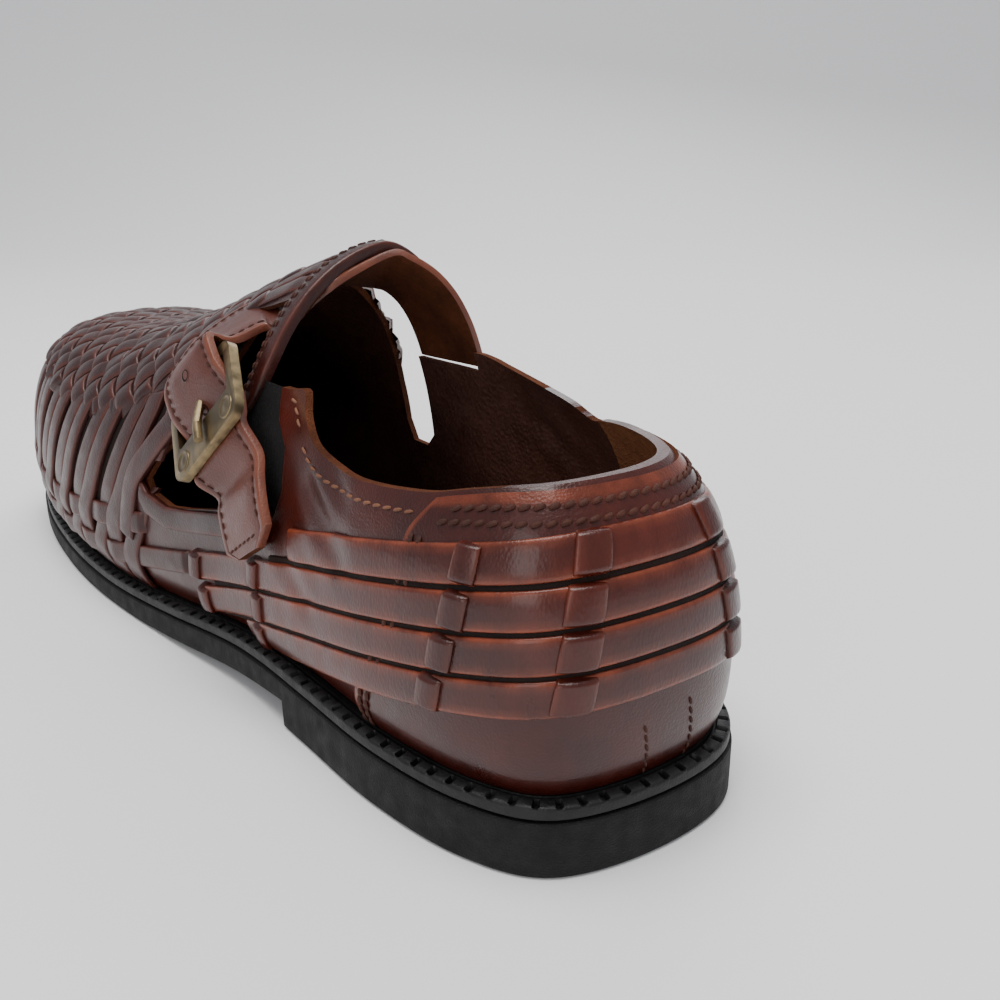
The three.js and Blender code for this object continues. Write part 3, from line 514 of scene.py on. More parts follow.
# ------------------------------------------------------------ wall of the upper
def catmull_open(rows, per):
    p = np.array(rows, float)
    p = np.vstack([2 * p[0] - p[1], p, 2 * p[-1] - p[-2]])
    out = []
    for i in range(1, len(p) - 2):
        a, b, c, d = p[i - 1], p[i], p[i + 1], p[i + 2]
        t = (np.arange(per) / per)[:, None]
        out.append(0.5 * ((2 * b) + (-a + c) * t + (2 * a - 5 * b + 4 * c - d) * t ** 2 + (-a + 3 * b - 3 * c + d) * t ** 3))
    return np.vstack(out + [p[-2][None]])


def plain_mesh(name, verts, faces):
    me = bpy.data.meshes.new(name)
    me.from_pydata([tuple(x) for x in ((np.asarray(verts, float) - SHIFT) / 1000).tolist()], [], [tuple(f) for f in faces])
    me.update()
    ob = bpy.data.objects.new(name, me)
    bpy.context.scene.collection.objects.link(ob)
    import bmesh
    bm = bmesh.new()
    bm.from_mesh(me)
    bmesh.ops.recalc_face_normals(bm, faces=bm.faces)
    bm.to_mesh(me)
    bm.free()
    return ob


def prism_x(rows, x0, x1):
    n = len(rows)
    v = [(x0, y, z) for y, z in rows] + [(x1, y, z) for y, z in rows]
    f = [tuple(range(n)), tuple(range(2 * n - 1, n - 1, -1))] + [(i, i + n, (i + 1) % n + n, (i + 1) % n) for i in range(n)]
    return plain_mesh("cutter", v, f)


def collar_tool():
    ys = np.concatenate([[46.5], np.arange(48, 161, 1.5)])
    v, f = [], []
    for y in ys:
        ci, co = float(collar_inner(y)), float(collar_outer(y))
        v += [(-90, y, 170), (-90, y, ci), (-16, y, ci), (-8, y, ci * 0.84 + co * 0.16), (0, y, (ci + co) / 2), (8, y, ci * 0.16 + co * 0.84), (16, y, co), (90, y, co), (90, y, 170)]
    k = 9
    for i in range(len(ys) - 1):
        for j in range(k):
            f.append((i * k + j, i * k + (j + 1) % k, (i + 1) * k + (j + 1) % k, (i + 1) * k + j))
    f.append(tuple(range(k - 1, -1, -1)))
    m = (len(ys) - 1) * k
    f.append(tuple(range(m, m + k)))
    return plain_mesh("cutter", v, f)


def apply_modifiers(ob):
    dg = bpy.context.evaluated_depsgraph_get()
    me = bpy.data.meshes.new_from_object(ob.evaluated_get(dg))
    old = ob.data
    ob.modifiers.clear()
    ob.data = me
    bpy.data.meshes.remove(old)


def subtract(ob, tools):
    for t in tools:
        md = ob.modifiers.new("cut", "BOOLEAN")
        md.operation = "DIFFERENCE"
        md.solver = "MANIFOLD"
        md.object = t
    apply_modifiers(ob)
    for t in tools:
        bpy.data.objects.remove(t)


WALL_OUT, WALL_IN = -0.9, -2.5
_ys = np.linspace(TOE_Y, HEEL_Y, 132)[1:-1]


def fan_qs(cy, count):
    """stations of a fan, evenly spaced along the widest line between the two sides"""
    a, b = q_of_y(cy, 1), q_of_y(cy, -1)
    if cy > 0:
        return np.linspace(b, a, count)
    return np.linspace(a, b + GIRTH, count)


qs = np.concatenate([fan_qs(HEEL_Y, 104), q_of_y(_ys[::-1], 1), fan_qs(TOE_Y, 120), q_of_y(_ys, -1)])
ts = np.concatenate([np.linspace(0, 0.75, 40, endpoint=False), 1 - 0.25 * (1 - np.linspace(0, 1, 24)) ** 1.7])
NQ_W, NT_W = len(qs), len(ts)
Qw, Tw = np.meshgrid(qs, ts, indexing="ij")
Pw = last_t(Qw, Tw, 0.3)
dq = np.roll(Pw, -1, 0) - np.roll(Pw, 1, 0)
dt = np.gradient(Pw, axis=1)
Nw = np.cross(dq, dt)
Nw /= np.maximum(np.linalg.norm(Nw, axis=-1), 1e-9)[..., None]
cen = np.stack([0 * Pw[..., 0], np.clip(Pw[..., 1], TOE_Y, HEEL_Y), 0 * Pw[..., 0] + 38.0], -1)
Nw *= np.where(((Pw - cen) * Nw).sum(-1) < 0, -1.0, 1.0)[..., None]
Nw[:, -1] = (0, 0, 1)
wall = []
for off in (WALL_OUT, WALL_IN):
    n = Nw.copy()
    n[:, 0, 2] = 0
    n[:, 0] /= np.linalg.norm(n[:, 0], axis=-1)[:, None]
    wall.append(Pw + n * off)


verts = np.vstack([wall[0].reshape(-1, 3), wall[1].reshape(-1, 3)])
idxO = np.arange(NQ_W * NT_W).reshape(NQ_W, NT_W)
idxI = idxO + NQ_W * NT_W
faces = []
nxt = np.roll(np.arange(NQ_W), -1)
for idx, flip in ((idxO, False), (idxI, True)):
    a, b, c, d = idx[:, :-1], idx[:, 1:], idx[nxt][:, 1:], idx[nxt][:, :-1]
    q = np.stack([a, d, c, b] if not flip else [a, b, c, d], -1).reshape(-1, 4)
    faces.append(q)
q = np.stack([idxO[:, 0], idxI[:, 0], idxI[nxt, 0], idxO[nxt, 0]], -1)
faces.append(q)
faces = np.vstack(faces)
import bmesh

me = bpy.data.meshes.new("wall")
me.from_pydata([tuple(p) for p in ((verts - SHIFT) / 1000).tolist()], [], [tuple(int(k) for k in f) for f in faces])
bm = bmesh.new()
bm.from_mesh(me)
bmesh.ops.remove_doubles(bm, verts=bm.verts, dist=2e-6)
bmesh.ops.dissolve_degenerate(bm, edges=bm.edges, dist=1e-7)
bmesh.ops.recalc_face_normals(bm, faces=bm.faces)
bm.to_mesh(me)
bm.free()
wall_ob = bpy.data.objects.new("upper_wall", me)
bpy.context.scene.collection.objects.link(wall_ob)


# ------------------------------------------------------------ strap path, shared by the slot and the strap
FRAME_A, FRAME_B, FRAME_T, BAR, PLATE_BAR = 31.0, 21.5, 2.2, 2.9, 8.2
bC = np.array([41.3, 39.2, 70.2])
bA = np.array([-0.25, 0.667, 0.70])
bA /= np.linalg.norm(bA)
bB = np.array([-0.267, -0.743, 0.613])
bB -= bA * (bA @ bB)
bB /= np.linalg.norm(bB)
bN = np.cross(bA, bB)
STRAP = [(-1, 41.3, 75.4, -2.0), (-1, 41.3, 80, -2.0), (-1, 41.2, 86, -2.1), (-1, 40.6, 92, -2.4), (-1, 39.6, 97, -3.2), (-1, 38.2, 100.6, -4.4),
         (-1, 36.6, 102.4, -5.2), (1, 34.8, 101.2, -5.3), (1, 33, 98.6, -5.3), (1, 31, 96, -5.2), (1, 29, 93.2, -4.8), (1, 27.2, 90.2, -3.4),
         (1, 25.6, 87.2, -0.4)]
STRAP_BUCKLE = [(2.4, 20.5, -4.4), (0.6, 17.0, -0.6), (0, 14.6, 1.6), (0, 12.4, 2.2), (0, 10.2, 1.9), (0, 8.2, 1.5), (0, 6.2, 0.9), (0, 3.8, -0.6),
                (0, 1.2, -2.4), (0, -1.2, -3.75), (0, -3.5, -4.0), (0, -7.5, -3.9), (0, -11, -3.7)]
STRAP_TAIL = [(1, 51.4, 57.4, 1.8), (1, 54.4, 53.2, 2.4), (1, 57.4, 49.2, 2.8), (1, 60.2, 45.2, 2.9), (1, 61.8, 42.6, 2.9)]


def on_last(rows):
    out = []
    for side, y, z, off in rows:
        q = q_of_y(y, side)
        p, n = with_normal(chart_qz, np.array([q]), np.array([float(z)]))
        out.append((p[0] + n[0] * off, n[0]))
    return out


_sp = on_last(STRAP) + [(bC + bA * a + bB * b + bN * h, bN) for a, b, h in STRAP_BUCKLE] + on_last(STRAP_TAIL)
_wid = [25 - 1.4 * float(smooth(9, 14, i)) for i in range(len(_sp))]
_wid[-1] = 12.0
sk_P = np.array([s[0] for s in _sp])
sk_N = np.array([s[1] for s in _sp])
sk_T = np.vstack([sk_P[1] - sk_P[0], sk_P[2:] - sk_P[:-2], sk_P[-1] - sk_P[-2]])
sk_T /= np.linalg.norm(sk_T, axis=1)[:, None]
sk_U = np.cross(sk_N, sk_T)
sk_U /= np.linalg.norm(sk_U, axis=1)[:, None]
sk_N = np.cross(sk_T, sk_U)
strap_p, strap_u, strap_n = catmull_open(sk_P, 8), catmull_open(sk_U, 8), catmull_open(sk_N, 8)
strap_u /= np.linalg.norm(strap_u, axis=1)[:, None]
strap_n /= np.linalg.norm(strap_n, axis=1)[:, None]
strap_w = np.interp(np.arange(len(strap_p)) / 8, np.arange(len(_wid)), _wid)
strap_s = np.concatenate([[0], np.cumsum(np.linalg.norm(np.diff(strap_p, axis=0), axis=1))])


def strap_tool():
    """the slot the strap passes through, a little larger than the strap"""
    k = slice(0, 13 * 8, 4)
    p, u, n, w = strap_p[k], strap_u[k], strap_n[k], strap_w[k]
    v, f = [], []
    for i in range(len(p)):
        h = w[i] / 2 + 0.5
        for a, b in ((-h, -0.4), (h, -0.4), (h, 3.0), (-h, 3.0)):
            v.append(p[i] + u[i] * a + n[i] * b)
    for i in range(len(p) - 1):
        for j in range(4):
            f.append((i * 4 + j, i * 4 + (j + 1) % 4, (i + 1) * 4 + (j + 1) % 4, (i + 1) * 4 + j))
    f += [(3, 2, 1, 0), tuple(len(v) - 4 + j for j in range(4))]
    return plain_mesh("cutter", v, f)


subtract(wall_ob, [collar_tool(), prism_x(OUTER_CUT, 4, 100), prism_x(INNER_CUT, -100, SADDLE_INNER_X), strap_tool()])

# sort the faces: outer leather, lining, raw edges, and painted shade on the outer wall behind the open weave
from mathutils.kdtree import KDTree
kd = KDTree(Pw.shape[0] * Pw.shape[1])
flatP, flatN = Pw.reshape(-1, 3), Nw.reshape(-1, 3)
for i, p in enumerate(flatP):
    kd.insert(tuple((p - SHIFT) / 1000), i)
kd.balance()
me = wall_ob.data
me.materials.clear()
for m in (LEATHER, LINING, SUEDE, PAINTED_SHADE_GAP, HEEL_PATCH):
    me.materials.append(m)


def vamp_front(p):
    """true on the forefoot, where the weave is open and the wall under it is painted near-black as shade"""
    x, y, z = p
    return y < -12 - 0.9 * (36 - z) if x > 0 else y < -30 - 0.9 * (36 - z)


mi = np.zeros(len(me.polygons), np.int32)
for k, poly in enumerate(me.polygons):
    c = poly.center
    _, i, _ = kd.find(c)
    d = float(np.dot(flatN[i], poly.normal))
    p = np.array(c) * 1000 + SHIFT
    off = float(((p - flatP[i]) * flatN[i]).sum())
    if d < -0.6 or (off < -2.1 and d < 0.2):
        mi[k] = 4 if (p[1] > 104 and p[2] > 36) else 1
    elif d > 0.6:
        # painted shade: outer faces behind the open forefoot weave take the near-black material
        mi[k] = 3 if vamp_front(p) else 0
    else:
        mi[k] = 2
me.polygons.foreach_set("material_index", mi)
me.attributes.new("wear", "FLOAT", "POINT")
me.shade_smooth()
me.set_sharp_from_angle(angle=math.radians(40))
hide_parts("upper")
pieces = [wall_ob]


# ------------------------------------------------------------ counter overlay and quarter stitching
g = Gather()


def top_line(q):
    """height of the collar at a station"""
    b, s = station(np.asarray(q, float))
    k = b[..., 1]
    y = np.where(k > HEEL_Y, HEEL_Y + (k - HEEL_Y) * 0.80, k)
    w = smooth(-16, 16, b[..., 0] * 0.8)
    return collar_inner(y) * (1 - w) + collar_outer(y) * w


# front edge of the overlay on the outer side, height and q; the inner side mirrors it
COUNTER_FRONT = [(10, 77), (21, 75.2), (30, 71), (40, 65.5), (51, 61.5), (58.8, 59.4), (62, 58.3), (66, 55.0), (69, 52.0), (76, 49.0)]
cf = pchip([r[0] for r in COUNTER_FRONT], [r[1] for r in COUNTER_FRONT])
rows = 46
zz_rel = np.linspace(0, 1, rows)
cols = 150
P = []
N = []
for k in np.linspace(-1, 1, cols):
    # each column runs from the welt to just under the collar
    zlo = 14.5
    q_guess = k * 60
    for _ in range(3):
        zt = float(top_line(q_guess)) - 0.7
        q_guess = k * float(cf(zt))
    zt = float(top_line(k * float(cf(zt)))) - 0.7
    z = zlo + (zt - zlo) * zz_rel
    q = k * cf(z)
    p, n = with_normal(chart_qz, q, z)
    P.append(p)
    N.append(n)
P, N = np.array(P), np.array(N)
edge_off = np.full(P.shape[:2], -0.1)
face = P + N * edge_off[..., None]
back = P + N * (-0.95)
wr = np.zeros(P.shape[:2])
wr[:2] = wr[-2:] = 0.6
wr[:, -2:] = 0.9
g.grid(face, 0, wr, out=N)
for line_a, line_b in ((face[0], back[0]), (face[-1], back[-1]), (face[:, -1], back[:, -1])):
    g.grid(np.stack([line_a, line_b], 1), 1)
counter = g.make("counter_overlay", [LEATHER, SUEDE], 45)
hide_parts("counter_band")
pieces.append(counter)

g = Gather()
# two rows under the collar round the heel, then down the front edges
kk = np.linspace(-0.93, 0.93, 260)
for d in (2.3, 4.9):
    z = np.array([float(top_line(k * 52)) for k in kk]) - 0.7 - d
    q = kk * cf(z)
    p, n = with_normal(chart_qz, q, z)
    stitches(g, p - n * 0.15, n, 2.5, 0.15, 0.52, tilt=0.3)
for side in (1, -1):
    for d in (2.2, 4.6):
        z = np.linspace(15.5, 63.5, 60)
        q = side * (cf(z) - d)
        p, n = with_normal(chart_qz, q, z)
        stitches(g, p - n * 0.15, n, 2.5, 0.15, 0.52, tilt=0.3 * side)
    # back stay seam
    z = np.linspace(15, 32 if side > 0 else 30, 20)
    q = -5.9 * (1 if side > 0 else -1) + (z - 31) * 0.2
    p, n = with_normal(chart_qz, q, z)
    stitches(g, p - n * 0.15, n, 2.0, 0.3, 0.3)
# one light row inside the quarter's top line and the ear
qa, qb = float(q_of_y(113, 1)), float(q_of_y(68.5, 1))
q = np.linspace(qa, qb, 60)
z = np.array([float(top_line(k)) for k in q]) - 3.2
p, n = with_normal(chart_qz, q, z)
stitches(g, p - n * 0.9, n, 2.3, 0.8, 0.36, mat=1)
EAR = [(67.2, 71.5), (64.0, 74.5), (61.4, 76.2), (58.2, 75.8)]
q = q_of_y(np.array([r[0] for r in EAR]), 1)
pp, nn = with_normal(chart_qz, q, np.array([float(r[1]) for r in EAR]))
stitches(g, catmull_open(pp, 6) - catmull_open(nn, 6) * 0.9, catmull_open(nn, 6), 2.3, 0.8, 0.36, mat=1)
qa, qb = float(q_of_y(112, -1)), float(q_of_y(60, -1))
q = np.linspace(qa, qb, 60)
z = np.array([float(top_line(k)) for k in q]) - 3.2
p, n = with_normal(chart_qz, q, z)
stitches(g, p - n * 0.9, n, 2.3, 0.8, 0.36, mat=1)
seams = g.make("seam_threads", [THREAD, THREAD_LIGHT], 60)
pieces.append(seams)


# ------------------------------------------------------------ woven quarter strips
g = Gather()
S_TOP = [56.2, 47.9, 39.7, 31.5]
S_W = 7.3


def strip_z(k, y):
    t = (y - 100) / 100
    return S_TOP[k] - 2.95 + 20.8 * t - 3.15 * t * t


# forward paths below the outer cut-out: y and height of each strip's middle line
FORE = {0: [(-2, 32.0), (-14, 30.5), (-30, 28.5), (-56, 25), (-85, 24), (-110, 26)],
        1: [(20, 27), (0, 22.8), (-22, 18.8), (-45, 17), (-80, 16.6), (-110, 18.6)]}
# loop columns: q of each loop's middle on the four strips, half width, outer side
LOOPS = [((41.5, 43.6, 46.3, 49.3), 2.9), ((16.2, 18.4, 19.6, 20.6), 3.9)]
WAIST = [((None, 117.5, 116.5, 119.0), 2.3), ((None, 147.5, 145.5, None), 2.3)]


for side in (1, -1):
    for k in range(4):
        front = {0: 70.0, 1: 22.0, 2: 24.0, 3: 44.0}[k] if side > 0 else {0: 56.0, 1: 22.0, 2: 24.0, 3: 44.0}[k]
        q_end = float(q_of_y(front, side))
        q = np.linspace(0, q_end, 150)
        b, s = station(q)
        y = b[:, 1]
        z = strip_z(k, y)
        rim = rim_z(y)
        if k > 0 and front <= 24:
            bl = smooth(60, front, y)
            end = {1: 27.2, 2: 18.5}[k]
            z = z * (1 - bl) + (z + (end - strip_z(k, front)) * bl) * bl
        off = np.full(len(q), 0.55)
        # pressed together and flatter at the very back
        off -= 0.25 * np.exp(-(q / 9) ** 2)
        dip = (0, 2.2)
        ribbon(g, chart_qz, q, z, S_W / 2, off, 1.35, 0, dip=dip, across=(0, 1), clip=False, crown=0.12)
    for k in range(5):
        # a thin near-black ribbon in each slit between neighbouring strips: painted shadow of the slit
        q_end = float(q_of_y({0: 66.0, 1: 60.0, 2: 30.0, 3: 30.0, 4: 50.0}[k], side))
        q = np.linspace(0, q_end, 120)
        b, s = station(q)
        zm = strip_z(0, b[:, 1]) + 4.1 if k == 0 else (strip_z(k - 1, b[:, 1]) + (strip_z(k, b[:, 1]) if k < 4 else strip_z(3, b[:, 1]) - 8.2)) / 2
        if k in (0, 4):
            continue
        ribbon(g, chart_qz, q, zm, 0.75, np.full(len(q), 0.02), 1.0, 1, dip=(0, 2.0), across=(0, 1), clip=False, wear=0)
strips = g.make("quarter_strips", [STRIPS_MAT, PAINTED_SHADE_GAP], 50)
pieces.append(strips)

g = Gather()


def loop(qc, zc, half_q, lean=0.0, height=S_W, top=1.45, mat=0, over=0.95):
    """a short strap bulging over one strip and dipping into the slits above and below it"""
    s = np.linspace(-1, 1, 23)
    z = zc + s * (height / 2 + over)
    q = qc - lean * s
    a = np.abs(s) * (height / 2 + over)
    k = smooth(height / 2 + over, height / 2 - 0.9, a)
    off = -1.5 + (top + 1.5) * k
    ribbon(g, chart_qz, q, z, half_q * (1 - 0.07 * s ** 2), off, 1.0, mat, dip=(0, 0), across=(1, 0), clip=False, crown=0.35, wear=0.35)


for side in (1, -1):
    for qsk, half in LOOPS:
        for k, qc in enumerate(qsk):
            y = float(edge_at(side * qc)[1])
            loop(side * qc, float(strip_z(k, y)), half, lean=0.9 * side)
    for qsk, half in WAIST:
        for k, qc in enumerate(qsk):
            if qc is None:
                continue
            q_ = qc if side > 0 else -(qc - 4)
            y = float(edge_at(q_)[1])
            zc = float(strip_z(k, y))
            if k in (1, 2) and y < 60:
                fr = {1: 22.0, 2: 24.0}[k]
                end = {1: 27.2, 2: 18.5}[k]
                bl = float(smooth(60, fr, y))
                zc = zc + (end - float(strip_z(k, fr))) * bl * bl
            loop(q_, zc, half, lean=0.6 * side, over=0.9)
loops = g.make("quarter_loops", [STRIPS_MAT], 50)
pieces.append(loops)


# ------------------------------------------------------------ forefoot weave
g = Gather()
V_PITCH, V_HALF = 9.6, 4.25
v_qs = np.arange(186, GIRTH - 186, V_PITCH)


def v_lean(q0):
    """how far a rising strip leans back, less round the toe"""
    m = GIRTH / 2
    return 19 * np.clip((m - q0) / (m - 186), -1, 1)


def v_top(q0):
    """profile height where the rising strips go under the woven vamp"""
    m = abs(q0 - GIRTH / 2) / (GIRTH / 2 - 186)
    return 0.44 + 0.06 * (1 - min(m, 1))


R_ROWS = [0, 1]


def fore_z(k, y):
    f = pchip([r[0] for r in FORE[k]], [r[1] for r in FORE[k]])
    return f(y)


for i, q0 in enumerate(v_qs):
    t = np.linspace(0, v_top(q0), 64)
    z = chart_qt(np.full(64, q0), t)[:, 2]
    rel = smooth(16, 58, z)
    q = q0 - v_lean(q0) * (0.15 * rel + 0.85 * np.clip((z - 14) / 44, 0, 1) ** 1.15) + (1.0 if i % 2 else -0.9)
    off = np.full(64, 0.35)
    y = edge_at(q)[:, 1]
    for k in R_ROWS:
        d = z - fore_z(k, y)
        s = 1 if (i + k) % 2 else -1
        off = off + s * 0.75 * np.exp(-(d / 4.2) ** 2)
    off = off + 0.5 * smooth(24, 60, z) * (0.8 if i % 2 else 0.2)
    half = V_HALF * (1 + 0.10 * np.sin(i * 2.3)) * (1 - 0.10 * rel)
    ribbon(g, chart_qt, q, t, half, off, 1.3, 0, dip=(0, 3.5), across=(1, 0), crown=0.18)
for k in R_ROWS:
    for side in (1, -1):
        y0, y1 = FORE[k][0][0], -104
        qa, qb = float(q_of_y(y0, side)), float(q_of_y(-97, side)) + (70 if side > 0 else -70)
        q = np.linspace(qa, qb, 240)
        y = np.clip(edge_at(q)[:, 1], -140, 200)
        z = fore_z(k, y)
        off = np.full(len(q), 0.35)
        for i, q0 in enumerate(v_qs):
            qq = q0 if side > 0 else q0 - GIRTH
            zz = z[np.argmin(np.abs(q - qq))]
            qc = qq - v_lean(q0) * (0.15 * float(smooth(16, 58, zz)) + 0.85 * np.clip((zz - 14) / 44, 0, 1) ** 1.15)
            s = -1 if (i + k) % 2 else 1
            off = off + s * 0.75 * np.exp(-((q - qc) / 3.6) ** 2)
        ribbon(g, chart_qz, q, z, 3.1, off, 1.3, 0, dip=(2.0, 3.0), across=(0, 1), crown=0.15)
# strips that bound the cut-out: up its front and along its lower edge
o_rows = [(178.5 + 6.0, 24.0), (182.5, 34.0), (180.0, 43.5), (174.5, 50.0), (168.0, 57.0), (161.5, 64.0)]
o_p = catmull_open(o_rows, 14)
ribbon(g, chart_qz, o_p[:, 0], o_p[:, 1], 3.6, np.full(len(o_p), 1.1) + 0.4 * np.sin(np.linspace(0, 3.1, len(o_p))), 1.3, 0, dip=(3.0, 3.0), clip=False, crown=0.2)
qa, qb = float(q_of_y(min(r[0] for r in OUTER_CUT) - 3, 1)), float(q_of_y(60.0, 1))
q = np.linspace(qa, qb, 120)
yq = edge_at(q)[:, 1]
zq = np.interp(yq, [-3, 0, 10, 19, 45, 60], [40.4, 38.4, 36.8, 38.0, 43.4, 46.0])
ribbon(g, chart_qz, q, zq, 2.9, np.full(len(q), 0.55) + 0.35 * np.cos(yq / 5.2), 1.3, 0, dip=(2.5, 2.5), across=(0, 1), clip=False, crown=0.2)
fore = g.make("forefoot_strips", [VAMP_MAT], 50)
pieces.append(fore)

# diagonal basket weave on the vamp
g = Gather()
PITCH = 8.3


def plug_edge(v):
    """how far down each side the weave reaches, measured across from the ridge"""
    return np.interp(v, [-140, -128, -112, -97, -66, -46, -26, -11, -2, 9.5, 24], [8, 26, 40, 47, 52, 53, 53, 49, 46, 41, 36])


def in_plug(u, v):
    r = np.where(v < TOE_Y, np.hypot(u, (v - TOE_Y) * 1.25), 0)
    lim = np.where(v < TOE_Y, 47.0, plug_edge(v))
    uu = np.where(v < TOE_Y, r, np.abs(u))
    return (uu < lim) & (v < 24)


for fam in (0, 1):
    for i in range(-30, 31):
        s = np.arange(-150, 150, 1.1)
        c = i * PITCH
        a = math.radians(45)
        if fam == 0:      # from the heel's outer side to the toe's inner side
            u, v = -s * math.cos(a) + c * math.sin(a), -s * math.sin(a) - c * math.cos(a) - 50
        else:
            u, v = -s * math.cos(a) + c * math.sin(a), s * math.sin(a) + c * math.cos(a) - 50
        m = in_plug(u, v)
        for i0, i1 in runs(m, 6):
            ss = s[i0:i1]
            w = np.cos(math.pi * (ss / PITCH + i)) * (1 if fam == 0 else -1)
            w = np.sign(w) * np.abs(w) ** 0.6
            off = 0.45 + 0.80 * w + (0.12 if fam == 0 else 0)
            ribbon(g, chart_uv, u[i0:i1], v[i0:i1], PITCH / 2 - 0.75, off, 1.2, 0, dip=(2.2, 2.2), crown=0.14, base=-0.9)
plug = g.make("vamp_weave", [VAMP_MAT], 50)
pieces.append(plug)


# ------------------------------------------------------------ saddle over the instep
g = Gather()
SAD_V0, SAD_V1 = 14.0, 46.3


def panel(g, us, vs, off, thick, mat, rimmat, f=chart_uv):
    U, V = np.meshgrid(us, vs, indexing="ij")
    p, n = with_normal(f, U, V)
    top, bot = p + n * off, p + n * (off - thick)
    g.grid(top, mat, None, out=n)
    for a, b in ((top[0], bot[0]), (top[-1], bot[-1]), (top[:, 0], bot[:, 0]), (top[:, -1], bot[:, -1])):
        g.grid(np.stack([a, b], 1), rimmat)
    return p, n


# panel ends on the outer side where the strap comes through
panel(g, np.linspace(-11.5, 25.5, 46), np.linspace(SAD_V0, SAD_V1, 40), 0.15, 1.0, 0, 1)
# stitched border along the throat, running down behind the strap to a tongue
BORDER = [(-12.5, 43.2), (0, 43.2), (15, 43.4), (26, 43.8), (34, 44.2), (41, 44.6), (47, 44.2), (51.5, 42.6), (54.5, 39.5)]
bp = catmull_open(BORDER, 14)
bu, bv = bp[:, 0], bp[:, 1]
ribbon(g, chart_uv, bu, bv, np.interp(bu, [-12, 40, 54], [3.3, 3.3, 2.6]), np.full(len(bu), 0.75), 2.6, 0, dip=(0, 0), clip=False, wear=1.0)
# raised cuts across the saddle where the vamp strips end
for k, (u0, v0, u1, v1) in enumerate([(2, 36, 8, 16), (9, 37.5, 14, 17), (16, 38.5, 20, 18), (-5, 35, 1, 15)]):
    uu, vv = np.linspace(u0, u1, 40), np.linspace(v0, v1, 40)
    ribbon(g, chart_uv, uu + 3.0, vv, 2.9, np.full(40, 0.75) + 0.15 * np.sin(np.linspace(0, 3.14, 40)), 1.0, 0, dip=(5.0, 4.0), base=0.0, clip=False, crown=0.1)
saddle = g.make("saddle_panel", [VAMP_MAT, SUEDE], 45)
pieces.append(saddle)
g = Gather()
for d in (1.1, 2.4):
    du, dv = np.gradient(bu), np.gradient(bv)
    l = np.hypot(du, dv)
    uu, vv = bu - (-dv / l) * 0 + (dv / l) * (d - 0.2), bv - (du / l) * (d - 0.2)
    p, n = with_normal(chart_uv, uu, vv)
    stitches(g, p + n * 0.78, n, 2.0, 0.7, 0.34)
ob = g.make("saddle_threads", [THREAD], 60)
pieces.append(ob)


# ------------------------------------------------------------ strap
g = Gather()
n_ = len(strap_s)
half = strap_w / 2
L = strap_s[-1]
CS = [(-1, 0.30, 0.6), (-1, 1.55, 0.9), (-0.985, 1.95, 1.0), (-0.94, 2.2, 0.8), (-0.84, 2.24, 0), (-0.81, 2.08, 0), (-0.78, 2.24, 0), (-0.4, 2.34, 0), (0, 2.38, 0),
      (0.4, 2.34, 0), (0.78, 2.24, 0), (0.81, 2.08, 0), (0.84, 2.24, 0), (0.94, 2.2, 0.8), (0.985, 1.95, 1.0), (1, 1.55, 0.9), (1, 0.30, 0.6), (0.9, 0, 0.2), (-0.9, 0, 0.2), (-1, 0.30, 0.6)]
cs = np.array(CS)
P = strap_p[:, None, :] + strap_u[:, None, :] * (half[:, None] * cs[:, 0])[..., None] + strap_n[:, None, :] * (np.broadcast_to(cs[:, 1], (n_, len(cs))))[..., None]
W = np.broadcast_to(cs[:, 2], (n_, len(cs)))
g.grid(P[:, :17], 0, W[:, :17], out=np.broadcast_to(strap_n[:, None, :], P[:, :17].shape))
g.grid(P[:, 16:], 1, None)
for e, rev in ((0, False), (-1, True)):
    ring = P[e][:-1]
    c = ring.mean(0)
    f = [(i, (i + 1) % len(ring), len(ring)) for i in range(len(ring))]
    g.add(np.vstack([ring, c[None]]), f, 1)
strap = g.make("strap_leather", [LEATHER_LIGHT, SUEDE], 40)
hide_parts("strap")
pieces.append(strap)
g = Gather()
i0, i1 = 0, int(np.searchsorted(strap_s, L - 3.2))
for sgn in (1, -1):
    kk = np.arange(i0, i1)
    line = strap_p[kk] + strap_u[kk] * (sgn * (half[kk] - 2.6))[:, None] + strap_n[kk] * 2.12
    stitches(g, line, strap_n[kk], 1.9, 0.7, 0.27)
j = int(np.searchsorted(strap_s, L - 3.0))
line = np.array([strap_p[j] + strap_u[j] * a for a in np.linspace(-half[j] + 2.6, half[j] - 2.6, 12)]) + strap_n[j] * 2.25
stitches(g, line, np.repeat(strap_n[j][None], 12, 0), 1.9, 0.7, 0.27)
# holes: eyelets punched in the strap, just in front of the plate bar, their inside painted near-black as shade
for b, h in ((-0.0, 0), (8.0, 0)):
    d = ((strap_p - (bC + bB * (b + 2.2) + bN * -1)) @ bB)
    j = int(np.argmin(np.where(strap_s > 60, np.abs(d), 1e9)))
    c = strap_p[j] + strap_n[j] * 2.30
    rg = []
    for rr, zz in ((1.75, 0.10), (1.45, 0.16), (1.25, -0.2), (1.1, -1.0)):
        rg.append([c + (strap_u[j] * math.cos(2 * math.pi * m / 20) + np.cross(strap_n[j], strap_u[j]) * math.sin(2 * math.pi * m / 20)) * rr + strap_n[j] * zz for m in range(21)])
    g.grid(np.array(rg)[:2], 1)
    g.grid(np.array(rg)[1:], 2)
    ring = np.array(rg[1])[:-1] - strap_n[j] * 0.05
    g.add(np.vstack([ring, c[None]]), [(m, (m + 1) % 20, 20) for m in range(20)], 2)
ob = g.make("strap_trim", [THREAD, LEATHER_LIGHT, PAINTED_SHADE_GAP], 60)
pieces.append(ob)


